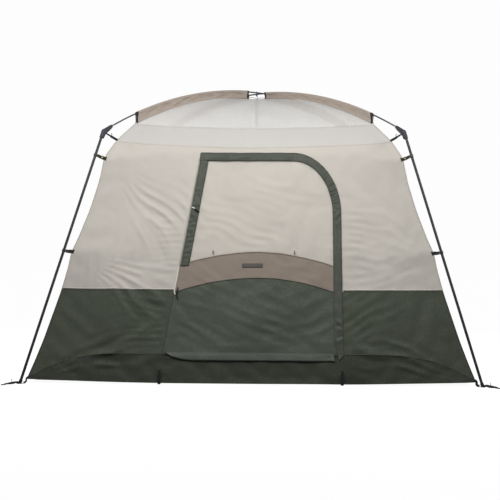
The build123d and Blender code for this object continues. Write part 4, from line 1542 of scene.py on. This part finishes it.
def covers():
    foot = arch(0.765, 0.875)
    door = [p for p in run(closed(doorway(-0.020)), 260) if p[1] > foot(p[0]) + 0.01]
    turn = max(range(len(door) - 1), key=lambda k: np.hypot(*(door[k + 1] - door[k])))
    outline = [tuple(p) for p in door[turn + 1 :] + door[: turn + 1]]
    xs = np.linspace(outline[-1][0], outline[0][0], 40)[1:-1]
    outline += [(float(x), float(foot(x))) for x in xs]
    window_cover(front, outline, COVER_HINGE_Z, "door_window_cover", 91)
    low = WINDOW_FOOT[1] + 0.002
    outline = [p for p in window_outline(0.012) if p[1] > low + 0.0001]
    for k, side in enumerate(("rear", "left", "right")):
        window_cover(cloths[side], outline, low, f"{side}_window_cover", 93 + k)


covers()


# ---- toggles, label and rivets ----
def barrel(name, centre, axis, length, radius):
    """A turned toggle with rounded ends and a waist for its cord."""
    axis = Vector(axis)
    t = np.array([-0.5, -0.49, -0.46, -0.38, -0.2, -0.08, 0, 0.08, 0.2, 0.38, 0.46, 0.49, 0.5])
    shares = (0.05, 0.45, 0.8, 1, 1, 0.95, 0.8, 0.95, 1, 1, 0.8, 0.45, 0.05)
    sections = np.array([round_section(radius * v, 16) for v in shares])
    points = np.array(centre, float) + np.outer(t * length, np.array(axis.normalized()))
    return swept(name, points, sections, up=axis.orthogonal())


def toggles():
    """The two small toggles of the window's cover, and the white one on the left flap."""
    pieces = []
    for k, x in enumerate((-0.273, 0.298)):
        centre, normal = front.at(x, 0.905, 0.0075)
        above, _ = front.at(x, 0.93, 0.0075)
        pieces.append(barrel(f"toggle_{k}", centre, above - centre, 0.026, 0.0042))
        points = [front.at(x, 0.889, 0.001)[0], centre + normal * 0.0035, front.at(x, 0.921, 0.001)[0]]
        pieces.append(swept(f"toggle_cord_{k}", spline(points), round_section(0.0011), up=(1, 0, 0)))
    assembled("window_toggles", pieces, GREY_TOGGLE, body="door", slot="toggle_plastic", nodes=["door_toggles"])
    centre, normal = front.at(-0.420, 1.214, 0.0115)
    end, _ = front.at(-0.396, 1.205, 0.0115)
    white = barrel("door_toggle", centre, end - centre, 0.030, 0.0048)
    dressed(white, WHITE_PLASTIC, body="door", slot="toggle_plastic")
    bends = ((-0.418, 1.220, 0.008), (-0.405, 1.207, 0.016), (-0.392, 1.197, 0.012), (-0.377, 1.187, 0.008))
    points = spline([front.at(x, z, out)[0] for x, z, out in bends], 7)
    strap = swept("door_toggle_loop", points, strap_section(0.012, 0.0040), up=tuple(normal))
    dressed(strap, BLACK_WEB, body="door", slot="black_webbing")


def plain_label():
    width, height, corner = 0.072, 0.015, 0.006
    centre_x, centre_z = 0.003, 0.812
    outline = []
    for cx, cz, a0 in ((width, height, 0), (-width, height, 90), (-width, -height, 180), (width, -height, 270)):
        mid_x, mid_z = cx - math.copysign(corner, cx), cz - math.copysign(corner, cz)
        turns = np.radians(np.linspace(a0, a0 + 90, 7))
        outline += [(mid_x + corner * math.cos(a), mid_z + corner * math.sin(a)) for a in turns]
    flat, faces = grid_sheet([(centre_x + x, centre_z + z) for x, z in outline], 0.008)
    label = mesh_object("plain_label", [front.at(x, z, 0.0016)[0] for x, z in flat], faces.tolist())
    set_uv(label, flat)
    dressed(thicken(label, 0.0012), LABEL, body="door", slot="tan_fabric")
    row = run(closed([(centre_x + x * 0.95, centre_z + z * 0.88) for x, z in outline]), 120)
    row = stitches("label_stitching", *on_wall(front, row, 0.0017), pitch=0.004, length=0.0026, wide=0.0008)
    dressed(row, BLACK_THREAD, body="door")


toggles()
plain_label()


CAD_MATERIALS = {
    "lower_leg": STEEL,
    "upper_leg": STEEL,
    "elbow_ferrules": BRIGHT,
    "elbow": PLASTIC,
    "roof_pole": FIBREGLASS,
    "pole_ferrules": BRIGHT,
    "leg_feet": BLACK_PLASTIC,
    "leg_clips": BLACK_PLASTIC,
    "strap_beads": YELLOW,
    "rings_and_pins": GREY_TOGGLE,
    "stake_eyelets": BLACK_PLASTIC,
    "door_zip_slider": BLACK_PLASTIC,
    "sill_zip_slider": BLACK_PLASTIC,
    "window_zip_slider": BLACK_PLASTIC,
}


def hardware():
    """Rivets, buttons and gussets on the frame, and the materials of what is shown straight from the CAD."""
    rivets, buttons = [], []
    for c in CORNERS:
        side = np.array(lateral(c))
        spots = [(1.521, 0.0136, 1.768, 0.0034, 0.0018)]
        spots += [(leg_s(z), 0.0122, z, 0.0026, 0.0012) for z, _ in CLIP_AND_WALL_Z]
        for sign in (-1, 1):
            for s, out, z, radius, height in spots:
                spot = on_diagonal(c, s, sign * out, z)
                rivets.append(rivet(f"rivet_{c}_{sign}_{z}", spot, sign * side, radius, height))
        joint = ELBOW_Z * 0.5 + 0.03
        spot = on_diagonal(c, leg_s(joint), -0.0092, joint)
        buttons.append(rivet(f"leg_button_{c}", spot, -side, 0.0034, 0.0032))
    assembled("elbow_rivets", rivets, RIVET, slot="bright_steel")
    assembled("leg_buttons", buttons, RIVET, slot="bright_steel")
    web = [(1.452, 1.790), (1.462, 1.801), (1.521, 1.770), (1.537, 1.716), (1.524, 1.713), (1.506, 1.746)]
    gussets = [plate(f"gusset_{c}", c, [*web, (1.484, 1.763)], 0.010) for c in CORNERS]
    assembled("elbow_gussets", gussets, PLASTIC, slot="grey_plastic")
    for name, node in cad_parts.items():
        found = [material for key, material in CAD_MATERIALS.items() if name.startswith(key)]
        if found and not node.hide_render:
            node.data.materials.clear()
            node.data.materials.append(found[0])


hardware()


def floor_cloth():
    """The floor, its edge turned up to the walls' foot."""

    def point(a, b):
        reach = max(abs(a), abs(b))
        half = (BASE_HALF - 0.004) * (1 + (float(edge_x(0.03)) / BASE_HALF - 1) * reach**8)
        rise = 0.0065 * smooth((reach - 0.985) / 0.015)
        rise += (float(bottom_z(min(abs(a), abs(b)) * BASE_HALF)) - 0.008) * smooth((reach - 0.72) / 0.28)
        return a * half, b * half, 0.0015 + float(rise) + 0.0006 * float(swell(a, b, 0.5, 97))

    shares = np.linspace(-1, 1, 61)
    obj = ribbon("floor_cloth", [[point(a, b) for b in shares] for a in shares[::-1]])
    dressed(obj, FLOOR_CLOTH, slot="bathtub_fabric", nodes=["floor"])
    declare(obj, ["front_tub_cloth"])


floor_cloth()

# ---- floor and light ----
# strengths of the world as a light and as it is seen, and of the ground's glow for the camera
WORLD_LIGHT, WORLD_SEEN, FLOOR_GLOW = 0.22, 0.985, 0.955
LAMP_POWER = {"front": 63, "right": 45, "rear": 54, "left": 38}


def studio():
    bpy.ops.mesh.primitive_plane_add(size=80, location=(0, 0, -0.0005))
    ground = bpy.context.object
    ground.name = "ground"
    shader = Shader("pale_floor", 0.9, specular=0.1)
    grain = shader.mapped(shader.noise(4, 2), 0.0, 1.0)
    pale = shader.finish(shader.blend(grain, (0.11, 0.11, 0.11, 1), (0.10, 0.10, 0.10, 1)))
    glow = shader.add("LightPath").outputs["Is Camera Ray"]
    shader.bsdf.inputs["Emission Color"].default_value = (1, 1, 1, 1)
    shader.feed(shader.bsdf.inputs["Emission Strength"], shader.maths("MULTIPLY", glow, FLOOR_GLOW))
    ground.data.materials.append(pale)
    scene.world = world = bpy.data.worlds.new("world")
    world.use_nodes = True
    tree = world.node_tree
    background = tree.nodes["Background"]
    background.inputs["Color"].default_value = (1, 1, 1, 1)
    path = tree.nodes.new("ShaderNodeLightPath")
    choose = tree.nodes.new("ShaderNodeMapRange")
    choose.inputs["To Min"].default_value = WORLD_LIGHT
    choose.inputs["To Max"].default_value = WORLD_SEEN
    tree.links.new(path.outputs["Is Camera Ray"], choose.inputs["Value"])
    tree.links.new(choose.outputs["Result"], background.inputs["Strength"])
    for side, power in LAMP_POWER.items():
        light = bpy.data.lights.new(f"{side}_light", "AREA")
        light.shape = "RECTANGLE"
        light.size, light.size_y, light.energy = 3.8, 0.7, power
        lamp = bpy.data.objects.new(light.name, light)
        scene.collection.objects.link(lamp)
        lamp.visible_camera = False
        place_at, aim = turned(np.array([[-0.1, -2.9, 2.80], [0, -1.15, 1.2]]), side)
        lamp.location = place_at
        lamp.rotation_euler = Vector(aim - place_at).to_track_quat("-Z", "Y").to_euler()


studio()
